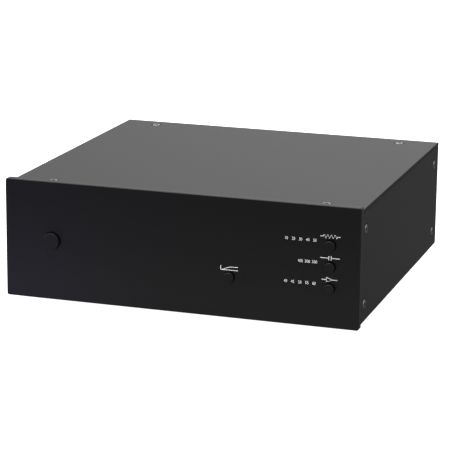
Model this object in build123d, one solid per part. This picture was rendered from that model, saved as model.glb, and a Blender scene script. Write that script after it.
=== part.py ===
from build123d import *
import os
from collections import namedtuple
from math import cos, radians

# Phono preamplifier in a low rectangular case, built as separate pieces.
# Millimetres. +X is to the right seen from the front, the front faces -Y, +Z is up.
# The origin is the middle of the footprint, on the surface that the feet stand on.

# ---------------------------------------------------------------- overall sizes
PANEL_WIDTH = 206.0
PANEL_HEIGHT = 68.0
PANEL_THICKNESS = 4.5
PANEL_CORNER_RADIUS = 1.2
PANEL_EDGE_BREAK = 0.35
CASE_DEPTH = 194.0  # front face of the panel to the rear edge of the covers
CASE_SIDE_STEP = 0.7  # the panel stands out past each side plate
CASE_TOP_STEP = 2.5  # the panel stands up past the top cover
CASE_BOTTOM_STEP = 1.25  # the panel reaches down past the base
PANEL_GROUND_GAP = 4.0
SOCKET_REACH = 6.0  # rear sockets past the rear edge of the covers
BUTTON_PROUD = 2.2

# ---------------------------------------------------------------- sheets and folds
COVER_THICKNESS = 2.0
SIDE_THICKNESS = 2.0
BASE_THICKNESS = 2.0
COVER_EDGE_BREAK = 0.25
FRAME_SHEET = 1.5
FRAME_BEND_RADIUS = 0.8
FRONT_FLANGE_DEPTH = 17.0
REAR_FLANGE_DEPTH = 12.0
REAR_RECESS = 3.0  # rear panel inside the rear edge of the covers
CORNER_RELIEF = 3.2
BASE_SIDE_GAP = 0.15

# ---------------------------------------------------------------- screws
SCREW_RADIUS = 1.45
THREAD_GAP = 0.05
CLEARANCE_GAP = 0.25
SOCKET_KEY_WIDTH = 2.0
SUNK_HEAD_RADIUS = 2.75
SUNK_HEAD_DEPTH = 1.3  # cone under the widest part of the head
SUNK_HEAD_DROP = 0.4  # widest part of the head below the sheet's face
SUNK_HEAD_CROWN = 0.7  # crown above the widest part
SUNK_HEAD_GAP = 0.12
SUNK_SCREW_LENGTH = 6.0
PAN_HEAD_RADIUS = 2.75
PAN_HEAD_HEIGHT = 1.9
BOARD_SCREW_LENGTH = 5.0
PANEL_SCREW_LENGTH = 4.5
FOOT_SCREW_LENGTH = 6.5
COLLAR_WALL = 0.8
COLLAR_LENGTH = 1.4
TOP_SCREW_INSET = 22.5  # in from the sides of the covers
COVER_SCREW_FRONT_INSET = 9.5  # behind the back of the panel
COVER_SCREW_REAR_INSET = 10.7  # in from the rear edge of the covers
SIDE_SCREW_END_INSET = 10.0  # in from the top and bottom edges of the side plates
PANEL_SCREW_INSET = 6.5  # in from the edges of the front frame

# ---------------------------------------------------------------- front controls
POWER_FROM_LEFT = 27.9
COLUMN_FROM_RIGHT = 16.8
SUBSONIC_FROM_COLUMN = 56.7
SUBSONIC_RISE = 1.1  # above the lowest row of the column
ROW_PITCH = 12.0
POWER_LED_RISE = 10.1
LED_PITCH = 4.0
LED_TO_BUTTON = 8.6
POWER_BUTTON_RADIUS = 4.75
SMALL_BUTTON_RADIUS = 2.9
BUTTON_GAP = 0.3
BUTTON_EDGE_BREAK = 0.25
BUTTON_TRAVEL = 1.0
PRESSED_GAP = 0.4  # between a pressed button's stem and its switch
BUTTON_COLLAR_WIDTH = 0.9
BUTTON_COLLAR_THICKNESS = 1.2
BUTTON_COLLAR_GAP = 0.2
BUTTON_STEM_RADIUS = 2.0
LED_HOLE_RADIUS = 0.5
LIGHT_PIN_GAP = 0.05
LIGHT_BAR_HEIGHT = 3.0
LIGHT_BAR_END = 1.6
LIGHT_SLOT_HEIGHT = 2.0
LIGHT_NOTCH_WIDTH = 0.8
LIGHT_NOTCH_DEPTH = 4.0
LED_WIDTH = 1.6
LED_HEIGHT = 0.9
LED_TO_GUIDE = 0.15

# ---------------------------------------------------------------- switches and control board
SPACER_LENGTH = 7.0
SPACER_WIDTH = 5.5
BOARD_THICKNESS = 1.6
CONTROL_BOARD_SIDE_GAP = 2.5  # to the tips of the side screws
CONTROL_BOARD_END_GAP = 1.0  # to the tips of the top and base screws
SPACER_FROM_POWER = 14.0
SPACER_FROM_COLUMN = 36.0
SWITCH_WIDTH = 6.2
SWITCH_WELL_SPARE = 1.0  # room for the return dome under a pressed plunger
SWITCH_FLOOR = 0.6
PLUNGER_RADIUS = 1.6
PLUNGER_GAP = 0.1
PLUNGER_SEAT = 1.4  # plunger inside the switch at rest
BOARD_SCREW_INSET = 5.0
BOARD_SCREW_END_INSET = 18.0  # main board's screws from its front edge and from the rear flanges

# ---------------------------------------------------------------- feet
FOOT_RADIUS = 6.5
FOOT_TAPER = 0.8
FOOT_WELL_GAP = 0.65  # round the head of the foot's screw
FOOT_WELL_DEPTH = 3.2
FOOT_SIDE_INSET = 18.0
FOOT_FRONT_INSET = 30.0
FOOT_REAR_INSET = 22.0

# ---------------------------------------------------------------- rear connectors
INPUT_FROM_RIGHT = 24.0
OUTPUT_FROM_INPUT = 44.0
GROUND_FROM_INPUT = 22.0
SOCKET_PITCH = 20.0
SOCKET_CENTRE_RISE = 1.5  # above the middle of the case
BARREL_RADIUS = 4.15
BARREL_WALL = 0.85
BARREL_EDGE_BREAK = 0.25
SOCKET_FLANGE_WIDTH = 1.65
SOCKET_FLANGE_THICKNESS = 1.0
SOCKET_TAIL_WALL = 0.4
SOCKET_TAIL_LENGTH = 7.0
INSULATOR_DROP = 0.5
INSULATOR_GAP = 0.05
CONTACT_BORE_RADIUS = 1.6
CONTACT_WALL = 0.4
CONTACT_DROP = 0.4
CONTACT_BORE_DEPTH = 9.0
CONTACT_TAIL = 3.0
RING_RIM = 0.8  # coloured rim that shows round the flange
RING_THICKNESS = 0.8
RING_SHOULDER_WALL = 0.7
RING_SHOULDER_GAP = 0.2  # shoulder short of the inner ring
SOCKET_NUT_WALL = 1.3
SOCKET_NUT_THICKNESS = 2.2
SLEEVE_GAP = 0.1
GROUND_POST_RADIUS = 1.95
GROUND_POST_TIP_DROP = 0.8  # tip of the post short of the socket tips
GROUND_HEAD_WIDTH = 7.0
GROUND_HEAD_THICKNESS = 2.4
GROUND_WASHER_RADIUS = 4.6
GROUND_WASHER_THICKNESS = 0.8
GROUND_WASHER_GAP = 0.2
GROUND_NUT_RADIUS = 4.9
GROUND_NUT_LENGTH = 5.6
GROUND_NUT_HUB_LENGTH = 1.2
GROUND_NUT_HUB_STEP = 1.2
GROUND_NUT_FLUTES = 24
GROUND_NUT_FLUTE_RADIUS = 0.35
RUNNING_GAP = 0.06
FACE_GAP = 0.05
TRIGGER_FROM_LEFT = 44.0
TRIGGER_PITCH = 17.0
JACK_NOSE_RADIUS = 3.4
JACK_BORE_RADIUS = 1.8
JACK_BORE_DEPTH = 13.0
JACK_NOSE_REACH = 1.2  # nose past the outer face of the rear panel
JACK_BODY_WIDTH = 10.0
JACK_BODY_DEPTH = 13.5
CONNECTOR_AXIS_RISE = 5.6  # jack and inlet axes above the main board
INLET_FROM_LEFT = 22.0
INLET_NOSE_RADIUS = 4.6
INLET_BORE_RADIUS = 3.2
INLET_BORE_DEPTH = 9.5
INLET_NOSE_REACH = 0.6
INLET_PIN_RADIUS = 1.0
INLET_PIN_DROP = 1.0  # tip of the pin inside the mouth
INLET_BODY_WIDTH = 10.0
INLET_BODY_DEPTH = 12.5

# ---------------------------------------------------------------- main board and what stands on it
MAIN_BOARD_SIDE_GAP = 2.0  # to the tips of the side screws
MAIN_BOARD_FRONT_GAP = 3.0  # behind the flanges of the front frame
MAIN_BOARD_REAR_GAP = 0.8
CAN_RADIUS = 6.25
CAN_HEIGHT = 21.0
CAN_SPACE = 2.5
CAN_EDGE = 0.8
CAN_GROOVE = 0.35
HEAT_SINK_SIDE_INSET = 9.0  # in from the edges of the main board
HEAT_SINK_FRONT_INSET = 16.0
HEAT_SINK_WIDTH = 30.0
HEAT_SINK_DEPTH = 16.0
HEAT_SINK_HEIGHT = 25.0
HEAT_SINK_WEB = 3.0
HEAT_SINK_FINS = 7
HEAT_SINK_FIN_THICKNESS = 1.4
FILM_REAR_INSET = 18.0  # in front of the rear flanges
FILM_WIDTH = 18.0
FILM_DEPTH = 7.5
FILM_HEIGHT = 13.0
FILM_PITCH = 11.0
RELAY_REAR_INSET = 15.0
RELAY_WIDTH = 7.5
RELAY_DEPTH = 15.0
RELAY_HEIGHT = 9.5
RELAY_PITCH = 10.5
RELAY_ROW_GAP = 5.0
CHIP_FRONT_INSET = 14.0
CHIP_WIDTH = 9.8
CHIP_DEPTH = 6.4
CHIP_HEIGHT = 3.6
CHIP_PITCH = 14.0
CHIP_COLUMN_PITCH = 22.0
CHIP_NOTCH_RADIUS = 0.8
SOFT_EDGE = 0.4
HEADER_WIDTH = 17.0
HEADER_DEPTH = 6.0
HEADER_HEIGHT = 9.0
RIBBON_WIDTH = 12.7
RIBBON_THICKNESS = 0.9
RIBBON_X = 20.0
RIBBON_RUN = 11.0  # level run behind the control board's header
RIBBON_BEND_RADIUS = 1.6

# ---------------------------------------------------------------- planes and places worked out from the sizes
SPAN_Y = BUTTON_PROUD + CASE_DEPTH + SOCKET_REACH
FRONT_Y = BUTTON_PROUD - SPAN_Y / 2
PANEL_BACK_Y = FRONT_Y + PANEL_THICKNESS
CASE_REAR_Y = FRONT_Y + CASE_DEPTH
SOCKET_TIP_Y = CASE_REAR_Y + SOCKET_REACH
REAR_FACE_Y = CASE_REAR_Y - REAR_RECESS
REAR_INNER_Y = REAR_FACE_Y - FRAME_SHEET
WEB_BACK_Y = PANEL_BACK_Y + FRAME_SHEET
CONTROL_BOARD_Y = WEB_BACK_Y + SPACER_LENGTH
CONTROL_BOARD_BACK_Y = CONTROL_BOARD_Y + BOARD_THICKNESS
GUIDE_BACK_Y = CONTROL_BOARD_Y - LED_HEIGHT - LED_TO_GUIDE

PANEL_BOTTOM_Z = PANEL_GROUND_GAP
PANEL_TOP_Z = PANEL_BOTTOM_Z + PANEL_HEIGHT
PANEL_MIDDLE_Z = (PANEL_BOTTOM_Z + PANEL_TOP_Z) / 2
CASE_BOTTOM_Z = PANEL_BOTTOM_Z + CASE_BOTTOM_STEP
CASE_TOP_Z = PANEL_TOP_Z - CASE_TOP_STEP
COVER_UNDERSIDE_Z = CASE_TOP_Z - COVER_THICKNESS
BASE_TOP_Z = CASE_BOTTOM_Z + BASE_THICKNESS
FRAME_HEIGHT = COVER_UNDERSIDE_Z - BASE_TOP_Z
FRAME_MIDDLE_Z = (COVER_UNDERSIDE_Z + BASE_TOP_Z) / 2
MAIN_BOARD_Z = BASE_TOP_Z + SPACER_LENGTH
MAIN_BOARD_TOP_Z = MAIN_BOARD_Z + BOARD_THICKNESS
CONNECTOR_Z = MAIN_BOARD_TOP_Z + CONNECTOR_AXIS_RISE

CASE_HALF_WIDTH = PANEL_WIDTH / 2 - CASE_SIDE_STEP
FRAME_HALF_WIDTH = CASE_HALF_WIDTH - SIDE_THICKNESS
THREAD_RADIUS = SCREW_RADIUS + THREAD_GAP
CLEARANCE_HOLE_RADIUS = SCREW_RADIUS + CLEARANCE_GAP
COLLAR_RADIUS = THREAD_RADIUS + COLLAR_WALL
FOOT_WELL_RADIUS = PAN_HEAD_RADIUS + FOOT_WELL_GAP
SCREW_TIP_DROP = SUNK_SCREW_LENGTH - COVER_THICKNESS
SIDE_SCREW_TIP_X = CASE_HALF_WIDTH - SUNK_SCREW_LENGTH

PLUNGER_OUT = BUTTON_TRAVEL + PRESSED_GAP
PLUNGER_LENGTH = PLUNGER_OUT + PLUNGER_SEAT
SWITCH_WELL_DEPTH = PLUNGER_SEAT + BUTTON_TRAVEL + SWITCH_WELL_SPARE
SWITCH_FRONT_Y = CONTROL_BOARD_Y - SWITCH_WELL_DEPTH - SWITCH_FLOOR
PLUNGER_FRONT_Y = SWITCH_FRONT_Y - PLUNGER_OUT

COVER_SCREW_FRONT_Y = PANEL_BACK_Y + COVER_SCREW_FRONT_INSET
COVER_SCREW_REAR_Y = CASE_REAR_Y - COVER_SCREW_REAR_INSET
COVER_SCREW_YS = (COVER_SCREW_FRONT_Y, COVER_SCREW_REAR_Y)
SIDE_SCREW_ZS = (CASE_BOTTOM_Z + SIDE_SCREW_END_INSET, COVER_UNDERSIDE_Z - SIDE_SCREW_END_INSET)
SIDES = (-1, 1)
TOP_SCREW_X = CASE_HALF_WIDTH - TOP_SCREW_INSET
TOP_SCREW_PLACES = [(side * TOP_SCREW_X, y) for side in SIDES for y in COVER_SCREW_YS]
PANEL_SCREW_X = FRAME_HALF_WIDTH - PANEL_SCREW_INSET
PANEL_SCREW_RISE = FRAME_HEIGHT / 2 - PANEL_SCREW_INSET
PANEL_SCREW_PLACES = [
    (side_x * PANEL_SCREW_X, FRAME_MIDDLE_Z + side_z * PANEL_SCREW_RISE)
    for side_x in SIDES
    for side_z in SIDES
]

# Every front control: where its button is, how big it is and where its small lights are.
Control = namedtuple("Control", "name x z radius lights")
POWER_X = POWER_FROM_LEFT - PANEL_WIDTH / 2
COLUMN_X = PANEL_WIDTH / 2 - COLUMN_FROM_RIGHT
SUBSONIC_X = COLUMN_X - SUBSONIC_FROM_COLUMN
SUBSONIC_Z = PANEL_MIDDLE_Z - ROW_PITCH + SUBSONIC_RISE


def row_lights(z, count):
    """Places of a row of lights that ends beside the button column."""
    last_x = COLUMN_X - LED_TO_BUTTON
    return [(last_x - LED_PITCH * step, z) for step in reversed(range(count))]


def row_control(name, row, count):
    """A button of the right-hand column with its row of lights; row counts up from the middle."""
    z = PANEL_MIDDLE_Z + row * ROW_PITCH
    return Control(name, COLUMN_X, z, SMALL_BUTTON_RADIUS, row_lights(z, count))


POWER_LIGHT = (POWER_X, PANEL_MIDDLE_Z + POWER_LED_RISE)
POWER = Control("power", POWER_X, PANEL_MIDDLE_Z, POWER_BUTTON_RADIUS, [POWER_LIGHT])
SUBSONIC_LIGHT = (SUBSONIC_X + LED_TO_BUTTON, SUBSONIC_Z)
SUBSONIC = Control("subsonic", SUBSONIC_X, SUBSONIC_Z, SMALL_BUTTON_RADIUS, [SUBSONIC_LIGHT])
RESISTANCE = row_control("resistance", 1, 5)
CAPACITANCE = row_control("capacitance", 0, 3)
GAIN = row_control("gain", -1, 5)
CONTROLS = (POWER, SUBSONIC, RESISTANCE, CAPACITANCE, GAIN)

INPUT_X = CASE_HALF_WIDTH - INPUT_FROM_RIGHT
OUTPUT_X = INPUT_X - OUTPUT_FROM_INPUT
GROUND_X = INPUT_X - GROUND_FROM_INPUT
SOCKET_MIDDLE_Z = FRAME_MIDDLE_Z + SOCKET_CENTRE_RISE
LEFT_CHANNEL_Z = SOCKET_MIDDLE_Z + SOCKET_PITCH / 2
RIGHT_CHANNEL_Z = SOCKET_MIDDLE_Z - SOCKET_PITCH / 2
SOCKET_PLACES = [(x, z) for x in (INPUT_X, OUTPUT_X) for z in (LEFT_CHANNEL_Z, RIGHT_CHANNEL_Z)]
TRIGGER_XS = [TRIGGER_FROM_LEFT - CASE_HALF_WIDTH + TRIGGER_PITCH * step for step in range(2)]
INLET_X = INLET_FROM_LEFT - CASE_HALF_WIDTH
BARREL_LENGTH = SOCKET_TIP_Y - REAR_FACE_Y - RING_THICKNESS - SOCKET_FLANGE_THICKNESS
BARREL_BORE_RADIUS = BARREL_RADIUS - BARREL_WALL
SOCKET_FLANGE_RADIUS = BARREL_RADIUS + SOCKET_FLANGE_WIDTH
SOCKET_TAIL_RADIUS = BARREL_BORE_RADIUS + SOCKET_TAIL_WALL
SOCKET_NUT_WIDTH = 2 * (SOCKET_TAIL_RADIUS + SOCKET_NUT_WALL)
CONTACT_RADIUS = CONTACT_BORE_RADIUS + CONTACT_WALL
RING_RADIUS = SOCKET_FLANGE_RADIUS + RING_RIM
RING_BORE_RADIUS = SOCKET_TAIL_RADIUS + SLEEVE_GAP
RING_SHOULDER_RADIUS = RING_BORE_RADIUS + RING_SHOULDER_WALL
RING_SHOULDER_LENGTH = FRAME_SHEET - RING_SHOULDER_GAP
GROUND_NUT_HUB_RADIUS = GROUND_NUT_RADIUS - GROUND_NUT_HUB_STEP

MAIN_BOARD_HALF_WIDTH = SIDE_SCREW_TIP_X - MAIN_BOARD_SIDE_GAP
MAIN_BOARD_FRONT_Y = PANEL_BACK_Y + FRONT_FLANGE_DEPTH + MAIN_BOARD_FRONT_GAP
MAIN_BOARD_REAR_Y = REAR_INNER_Y - MAIN_BOARD_REAR_GAP
MAIN_BOARD_SCREW_YS = (
    MAIN_BOARD_FRONT_Y + BOARD_SCREW_END_INSET,
    REAR_INNER_Y - REAR_FLANGE_DEPTH - BOARD_SCREW_END_INSET,
)
MAIN_BOARD_SCREW_X = MAIN_BOARD_HALF_WIDTH - BOARD_SCREW_INSET
MAIN_BOARD_SCREW_PLACES = [(side * MAIN_BOARD_SCREW_X, y) for side in SIDES for y in MAIN_BOARD_SCREW_YS]
CAN_PITCH = 2 * CAN_RADIUS + CAN_SPACE
FIRST_CAN_X = PAN_HEAD_RADIUS + CAN_RADIUS - MAIN_BOARD_SCREW_X
CONTROL_BOARD_HALF_WIDTH = SIDE_SCREW_TIP_X - CONTROL_BOARD_SIDE_GAP
CONTROL_BOARD_HALF_HEIGHT = FRAME_HEIGHT / 2 - SCREW_TIP_DROP - CONTROL_BOARD_END_GAP
CONTROL_BOARD_SCREW_PLACES = [
    (x, FRAME_MIDDLE_Z + side * (CONTROL_BOARD_HALF_HEIGHT - BOARD_SCREW_INSET))
    for x in (POWER_X + SPACER_FROM_POWER, COLUMN_X - SPACER_FROM_COLUMN)
    for side in SIDES
]
FOOT_PLACES = {
    "front_left": (FOOT_SIDE_INSET - CASE_HALF_WIDTH, FRONT_Y + FOOT_FRONT_INSET),
    "front_right": (CASE_HALF_WIDTH - FOOT_SIDE_INSET, FRONT_Y + FOOT_FRONT_INSET),
    "rear_left": (FOOT_SIDE_INSET - CASE_HALF_WIDTH, CASE_REAR_Y - FOOT_REAR_INSET),
    "rear_right": (CASE_HALF_WIDTH - FOOT_SIDE_INSET, CASE_REAR_Y - FOOT_REAR_INSET),
}


# ---------------------------------------------------------------- shape helpers
def rod(radius, start, end):
    """Round bar between two points."""
    direction = Vector(*end) - Vector(*start)
    plane = Plane(origin=start, z_dir=direction)
    return extrude(plane * Circle(radius), amount=direction.length)


def block(x, y, z):
    """Box between two limits along each axis."""
    middle = [(low + high) / 2 for low, high in (x, y, z)]
    size = [high - low for low, high in (x, y, z)]
    return Pos(*middle) * Box(*size)


def around(centre, width):
    """Two limits, one each side of a centre."""
    return (centre - width / 2, centre + width / 2)


def turned(outline, origin, direction):
    """Lathe-turned solid: (radius, station) points revolved about the line through origin."""
    points = [(radius, 0, station) for radius, station in outline]
    profile = make_face(Polyline(*points, close=True))
    return Plane(origin=origin, z_dir=direction) * revolve(profile, Axis.Z)


def hexagon_bar(width, start, end):
    """Six-sided bar between two points, width across its flats."""
    direction = Vector(*end) - Vector(*start)
    plane = Plane(origin=start, z_dir=direction)
    corner_radius = width / 2 / cos(radians(30))
    return extrude(plane * RegularPolygon(corner_radius, 6), amount=direction.length)


def bore_y(radius, x, z, start_y, end_y):
    """Round bar along Y, longer by one at both ends, to cut a hole with."""
    return rod(radius, (x, start_y - 1, z), (x, end_y + 1, z))


def step_along(origin, direction, distance):
    """Point at a distance from origin along a unit direction."""
    return tuple(start + distance * part for start, part in zip(origin, direction))


def joined(solids):
    """One compound of separate solids, for a node that holds several like pieces."""
    return Compound(children=[solid for solid in solids])


# ---------------------------------------------------------------- screws and their holes
def sunk_screw(origin, direction):
    """Raised countersunk socket screw; origin is on the sheet's outer face, direction runs in."""
    crown_top = SUNK_HEAD_DROP - SUNK_HEAD_CROWN
    crown = ThreePointArc(
        (0, 0, crown_top),
        (SUNK_HEAD_RADIUS / 2, 0, SUNK_HEAD_DROP - SUNK_HEAD_CROWN * 0.75),
        (SUNK_HEAD_RADIUS, 0, SUNK_HEAD_DROP),
    )
    shank = Polyline(
        (SUNK_HEAD_RADIUS, 0, SUNK_HEAD_DROP),
        (SCREW_RADIUS, 0, SUNK_HEAD_DROP + SUNK_HEAD_DEPTH),
        (SCREW_RADIUS, 0, SUNK_SCREW_LENGTH),
        (0, 0, SUNK_SCREW_LENGTH),
        (0, 0, crown_top),
    )
    screw = Plane(origin=origin, z_dir=direction) * revolve(make_face(Curve() + [crown, shank]), Axis.Z)
    key_start = step_along(origin, direction, -SUNK_HEAD_CROWN)
    key_end = step_along(origin, direction, SUNK_HEAD_DROP + SUNK_HEAD_DEPTH / 2)
    return screw - hexagon_bar(SOCKET_KEY_WIDTH, key_start, key_end)


def sunk_hole(origin, direction, thickness):
    """Tool for a countersunk hole through a sheet; origin is on the sheet's outer face."""
    cone_end = SUNK_HEAD_DROP + SUNK_HEAD_DEPTH
    cone_slope = (SUNK_HEAD_RADIUS - SCREW_RADIUS) / SUNK_HEAD_DEPTH
    bore_radius = SCREW_RADIUS + SUNK_HEAD_GAP
    mouth_radius = bore_radius + cone_slope * cone_end
    outline = [
        (0, -thickness),
        (mouth_radius, -thickness),
        (mouth_radius, 0),
        (bore_radius, cone_end),
        (bore_radius, 2 * thickness),
        (0, 2 * thickness),
    ]
    return turned(outline, origin, direction)


def pan_screw(seat, direction, length):
    """Pan-head screw; seat is where the head's flat side lies, direction runs into the thread."""
    edge = PAN_HEAD_HEIGHT * 0.4
    outline = [
        (0, -PAN_HEAD_HEIGHT),
        (PAN_HEAD_RADIUS - edge, -PAN_HEAD_HEIGHT),
        (PAN_HEAD_RADIUS, -PAN_HEAD_HEIGHT + edge),
        (PAN_HEAD_RADIUS, 0),
        (SCREW_RADIUS, 0),
        (SCREW_RADIUS, length),
        (0, length),
    ]
    screw = turned(outline, seat, direction)
    key_start = step_along(seat, direction, -2 * PAN_HEAD_HEIGHT)
    key_end = step_along(seat, direction, -PAN_HEAD_HEIGHT / 2)
    return screw - hexagon_bar(SOCKET_KEY_WIDTH, key_start, key_end)


# ---------------------------------------------------------------- casing
def front_panel():
    """Thick machined plate with button holes, light holes and four blind threads at the back."""
    outline = RectangleRounded(PANEL_WIDTH, PANEL_HEIGHT, PANEL_CORNER_RADIUS)
    panel = extrude(Plane.XZ.offset(-PANEL_BACK_Y) * Pos(0, PANEL_MIDDLE_Z) * outline, amount=PANEL_THICKNESS)
    panel = chamfer(panel.faces().sort_by(Axis.Y)[0].edges(), PANEL_EDGE_BREAK)
    for control in CONTROLS:
        panel -= bore_y(control.radius + BUTTON_GAP, control.x, control.z, FRONT_Y, PANEL_BACK_Y)
        for x, z in control.lights:
            panel -= bore_y(LED_HOLE_RADIUS, x, z, FRONT_Y, PANEL_BACK_Y)
    thread_end_y = PANEL_BACK_Y - (PANEL_SCREW_LENGTH - FRAME_SHEET) - THREAD_GAP
    for x, z in PANEL_SCREW_PLACES:
        panel -= rod(THREAD_RADIUS, (x, PANEL_BACK_Y + 1, z), (x, thread_end_y, z))
    return panel


def folded_frame(depth):
    """Web plate at y = 0 with four flanges folded towards +Y, open at the corners."""
    width = 2 * FRAME_HALF_WIDTH
    outside = block(around(0, width), (0, depth), around(FRAME_MIDDLE_Z, FRAME_HEIGHT))
    outside = fillet(outside.faces().sort_by(Axis.Y)[0].edges(), FRAME_BEND_RADIUS + FRAME_SHEET)
    inside = block(
        around(0, width - 2 * FRAME_SHEET),
        (FRAME_SHEET, 2 * depth),
        around(FRAME_MIDDLE_Z, FRAME_HEIGHT - 2 * FRAME_SHEET),
    )
    inside = fillet(inside.faces().sort_by(Axis.Y)[0].edges(), FRAME_BEND_RADIUS)
    frame = outside - inside
    for side_x in SIDES:
        for side_z in SIDES:
            corner = Pos(side_x * width / 2, depth / 2, FRAME_MIDDLE_Z + side_z * FRAME_HEIGHT / 2)
            frame -= corner * Box(2 * CORNER_RELIEF, 2 * depth, 2 * CORNER_RELIEF)
    return frame


def thread_collar(frame, face, direction):
    """Drawn and threaded collar on the inside of a flange; face is on the flange's outer side."""
    collar_end = step_along(face, direction, FRAME_SHEET + COLLAR_LENGTH)
    frame += rod(COLLAR_RADIUS, step_along(face, direction, FRAME_SHEET / 2), collar_end)
    frame -= rod(THREAD_RADIUS, step_along(face, direction, -1), step_along(collar_end, direction, 1))
    return frame


def flange_threads(frame, y):
    """Threaded collars for the cover, base and side screws along one frame."""
    for side in SIDES:
        frame = thread_collar(frame, (side * TOP_SCREW_X, y, COVER_UNDERSIDE_Z), (0, 0, -1))
        frame = thread_collar(frame, (side * TOP_SCREW_X, y, BASE_TOP_Z), (0, 0, 1))
        for z in SIDE_SCREW_ZS:
            frame = thread_collar(frame, (side * FRAME_HALF_WIDTH, y, z), (-side, 0, 0))
    return frame


def light_slot(control):
    """Slot in the front frame that lets a row of light pins through."""
    first_x, z = control.lights[0]
    last_x = control.lights[-1][0]
    slot = bore_y(LIGHT_SLOT_HEIGHT / 2, first_x, z, PANEL_BACK_Y, WEB_BACK_Y)
    if last_x > first_x:
        slot += bore_y(LIGHT_SLOT_HEIGHT / 2, last_x, z, PANEL_BACK_Y, WEB_BACK_Y)
        slot += block((first_x, last_x), (PANEL_BACK_Y - 1, WEB_BACK_Y + 1), around(z, LIGHT_SLOT_HEIGHT))
    return slot


def front_frame():
    """Folded inner frame that the front panel, the covers and the control board are screwed to."""
    frame = Pos(0, PANEL_BACK_Y, 0) * folded_frame(FRONT_FLANGE_DEPTH)
    frame = flange_threads(frame, COVER_SCREW_FRONT_Y)
    for control in CONTROLS:
        hole_radius = control.radius + BUTTON_COLLAR_WIDTH + BUTTON_GAP
        frame -= bore_y(hole_radius, control.x, control.z, PANEL_BACK_Y, WEB_BACK_Y)
        frame -= light_slot(control)
    for x, z in PANEL_SCREW_PLACES:
        frame -= bore_y(CLEARANCE_HOLE_RADIUS, x, z, PANEL_BACK_Y, WEB_BACK_Y)
    return frame


def rear_panel():
    """Folded rear panel with the holes for every connector."""
    panel = Pos(0, REAR_FACE_Y, 0) * mirror(folded_frame(REAR_FLANGE_DEPTH), Plane.XZ)
    panel = flange_threads(panel, COVER_SCREW_REAR_Y)
    holes = [(x, z, RING_SHOULDER_RADIUS + SLEEVE_GAP) for x, z in SOCKET_PLACES]
    holes += [(x, CONNECTOR_Z, JACK_NOSE_RADIUS + SLEEVE_GAP) for x in TRIGGER_XS]
    holes.append((INLET_X, CONNECTOR_Z, INLET_NOSE_RADIUS + SLEEVE_GAP))
    holes.append((GROUND_X, SOCKET_MIDDLE_Z, GROUND_POST_RADIUS + SLEEVE_GAP))
    for x, z, radius in holes:
        panel -= bore_y(radius, x, z, REAR_INNER_Y, REAR_FACE_Y)
    return panel


def top_cover():
    """Flat top sheet that lies on the side plates, with four countersunk holes."""
    cover = block(
        (-CASE_HALF_WIDTH, CASE_HALF_WIDTH), (PANEL_BACK_Y, CASE_REAR_Y), (COVER_UNDERSIDE_Z, CASE_TOP_Z)
    )
    cover = chamfer(cover.faces().sort_by(Axis.Z)[-1].edges(), COVER_EDGE_BREAK)
    for x, y in TOP_SCREW_PLACES:
        cover -= sunk_hole((x, y, CASE_TOP_Z), (0, 0, -1), COVER_THICKNESS)
    return cover


def side_plate(side):
    """Flat side sheet with four countersunk holes; side is -1 on the left and 1 on the right."""
    x_limits = sorted((side * FRAME_HALF_WIDTH, side * CASE_HALF_WIDTH))
    plate = block(x_limits, (PANEL_BACK_Y, CASE_REAR_Y), (CASE_BOTTOM_Z, COVER_UNDERSIDE_Z))
    outer_face = plate.faces().sort_by(Axis.X)[-1 if side > 0 else 0]
    plate = chamfer(outer_face.edges(), COVER_EDGE_BREAK)
    for y in COVER_SCREW_YS:
        for z in SIDE_SCREW_ZS:
            plate -= sunk_hole((side * CASE_HALF_WIDTH, y, z), (-side, 0, 0), SIDE_THICKNESS)
    return plate


def base_plate():
    """Bottom sheet between the side plates, with countersunk holes and threads for the feet."""
    half_width = FRAME_HALF_WIDTH - BASE_SIDE_GAP
    plate = block((-half_width, half_width), (PANEL_BACK_Y, CASE_REAR_Y), (CASE_BOTTOM_Z, BASE_TOP_Z))
    for x, y in TOP_SCREW_PLACES:
        plate -= sunk_hole((x, y, CASE_BOTTOM_Z), (0, 0, 1), BASE_THICKNESS)
    collar_top_z = BASE_TOP_Z + COLLAR_LENGTH
    for x, y in FOOT_PLACES.values():
        plate += rod(COLLAR_RADIUS, (x, y, CASE_BOTTOM_Z + BASE_THICKNESS / 2), (x, y, collar_top_z))
        plate -= rod(THREAD_RADIUS, (x, y, CASE_BOTTOM_Z - 1), (x, y, collar_top_z + 1))
    return plate


def top_screws():
    """Four countersunk screws of the top cover."""
    return joined(sunk_screw((x, y, CASE_TOP_Z), (0, 0, -1)) for x, y in TOP_SCREW_PLACES)


def base_screws():
    """Four countersunk screws of the base plate."""
    return joined(sunk_screw((x, y, CASE_BOTTOM_Z), (0, 0, 1)) for x, y in TOP_SCREW_PLACES)


def side_screws():
    """Eight countersunk screws, four in each side plate."""
    return joined(
        sunk_screw((side * CASE_HALF_WIDTH, y, z), (-side, 0, 0))
        for side in SIDES
        for y in COVER_SCREW_YS
        for z in SIDE_SCREW_ZS
    )


def front_panel_screws():
    """Four screws that hold the front panel from behind, through the front frame."""
    seats = [(x, WEB_BACK_Y, z) for x, z in PANEL_SCREW_PLACES]
    return joined(pan_screw(seat, (0, -1, 0), PANEL_SCREW_LENGTH) for seat in seats)


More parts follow.
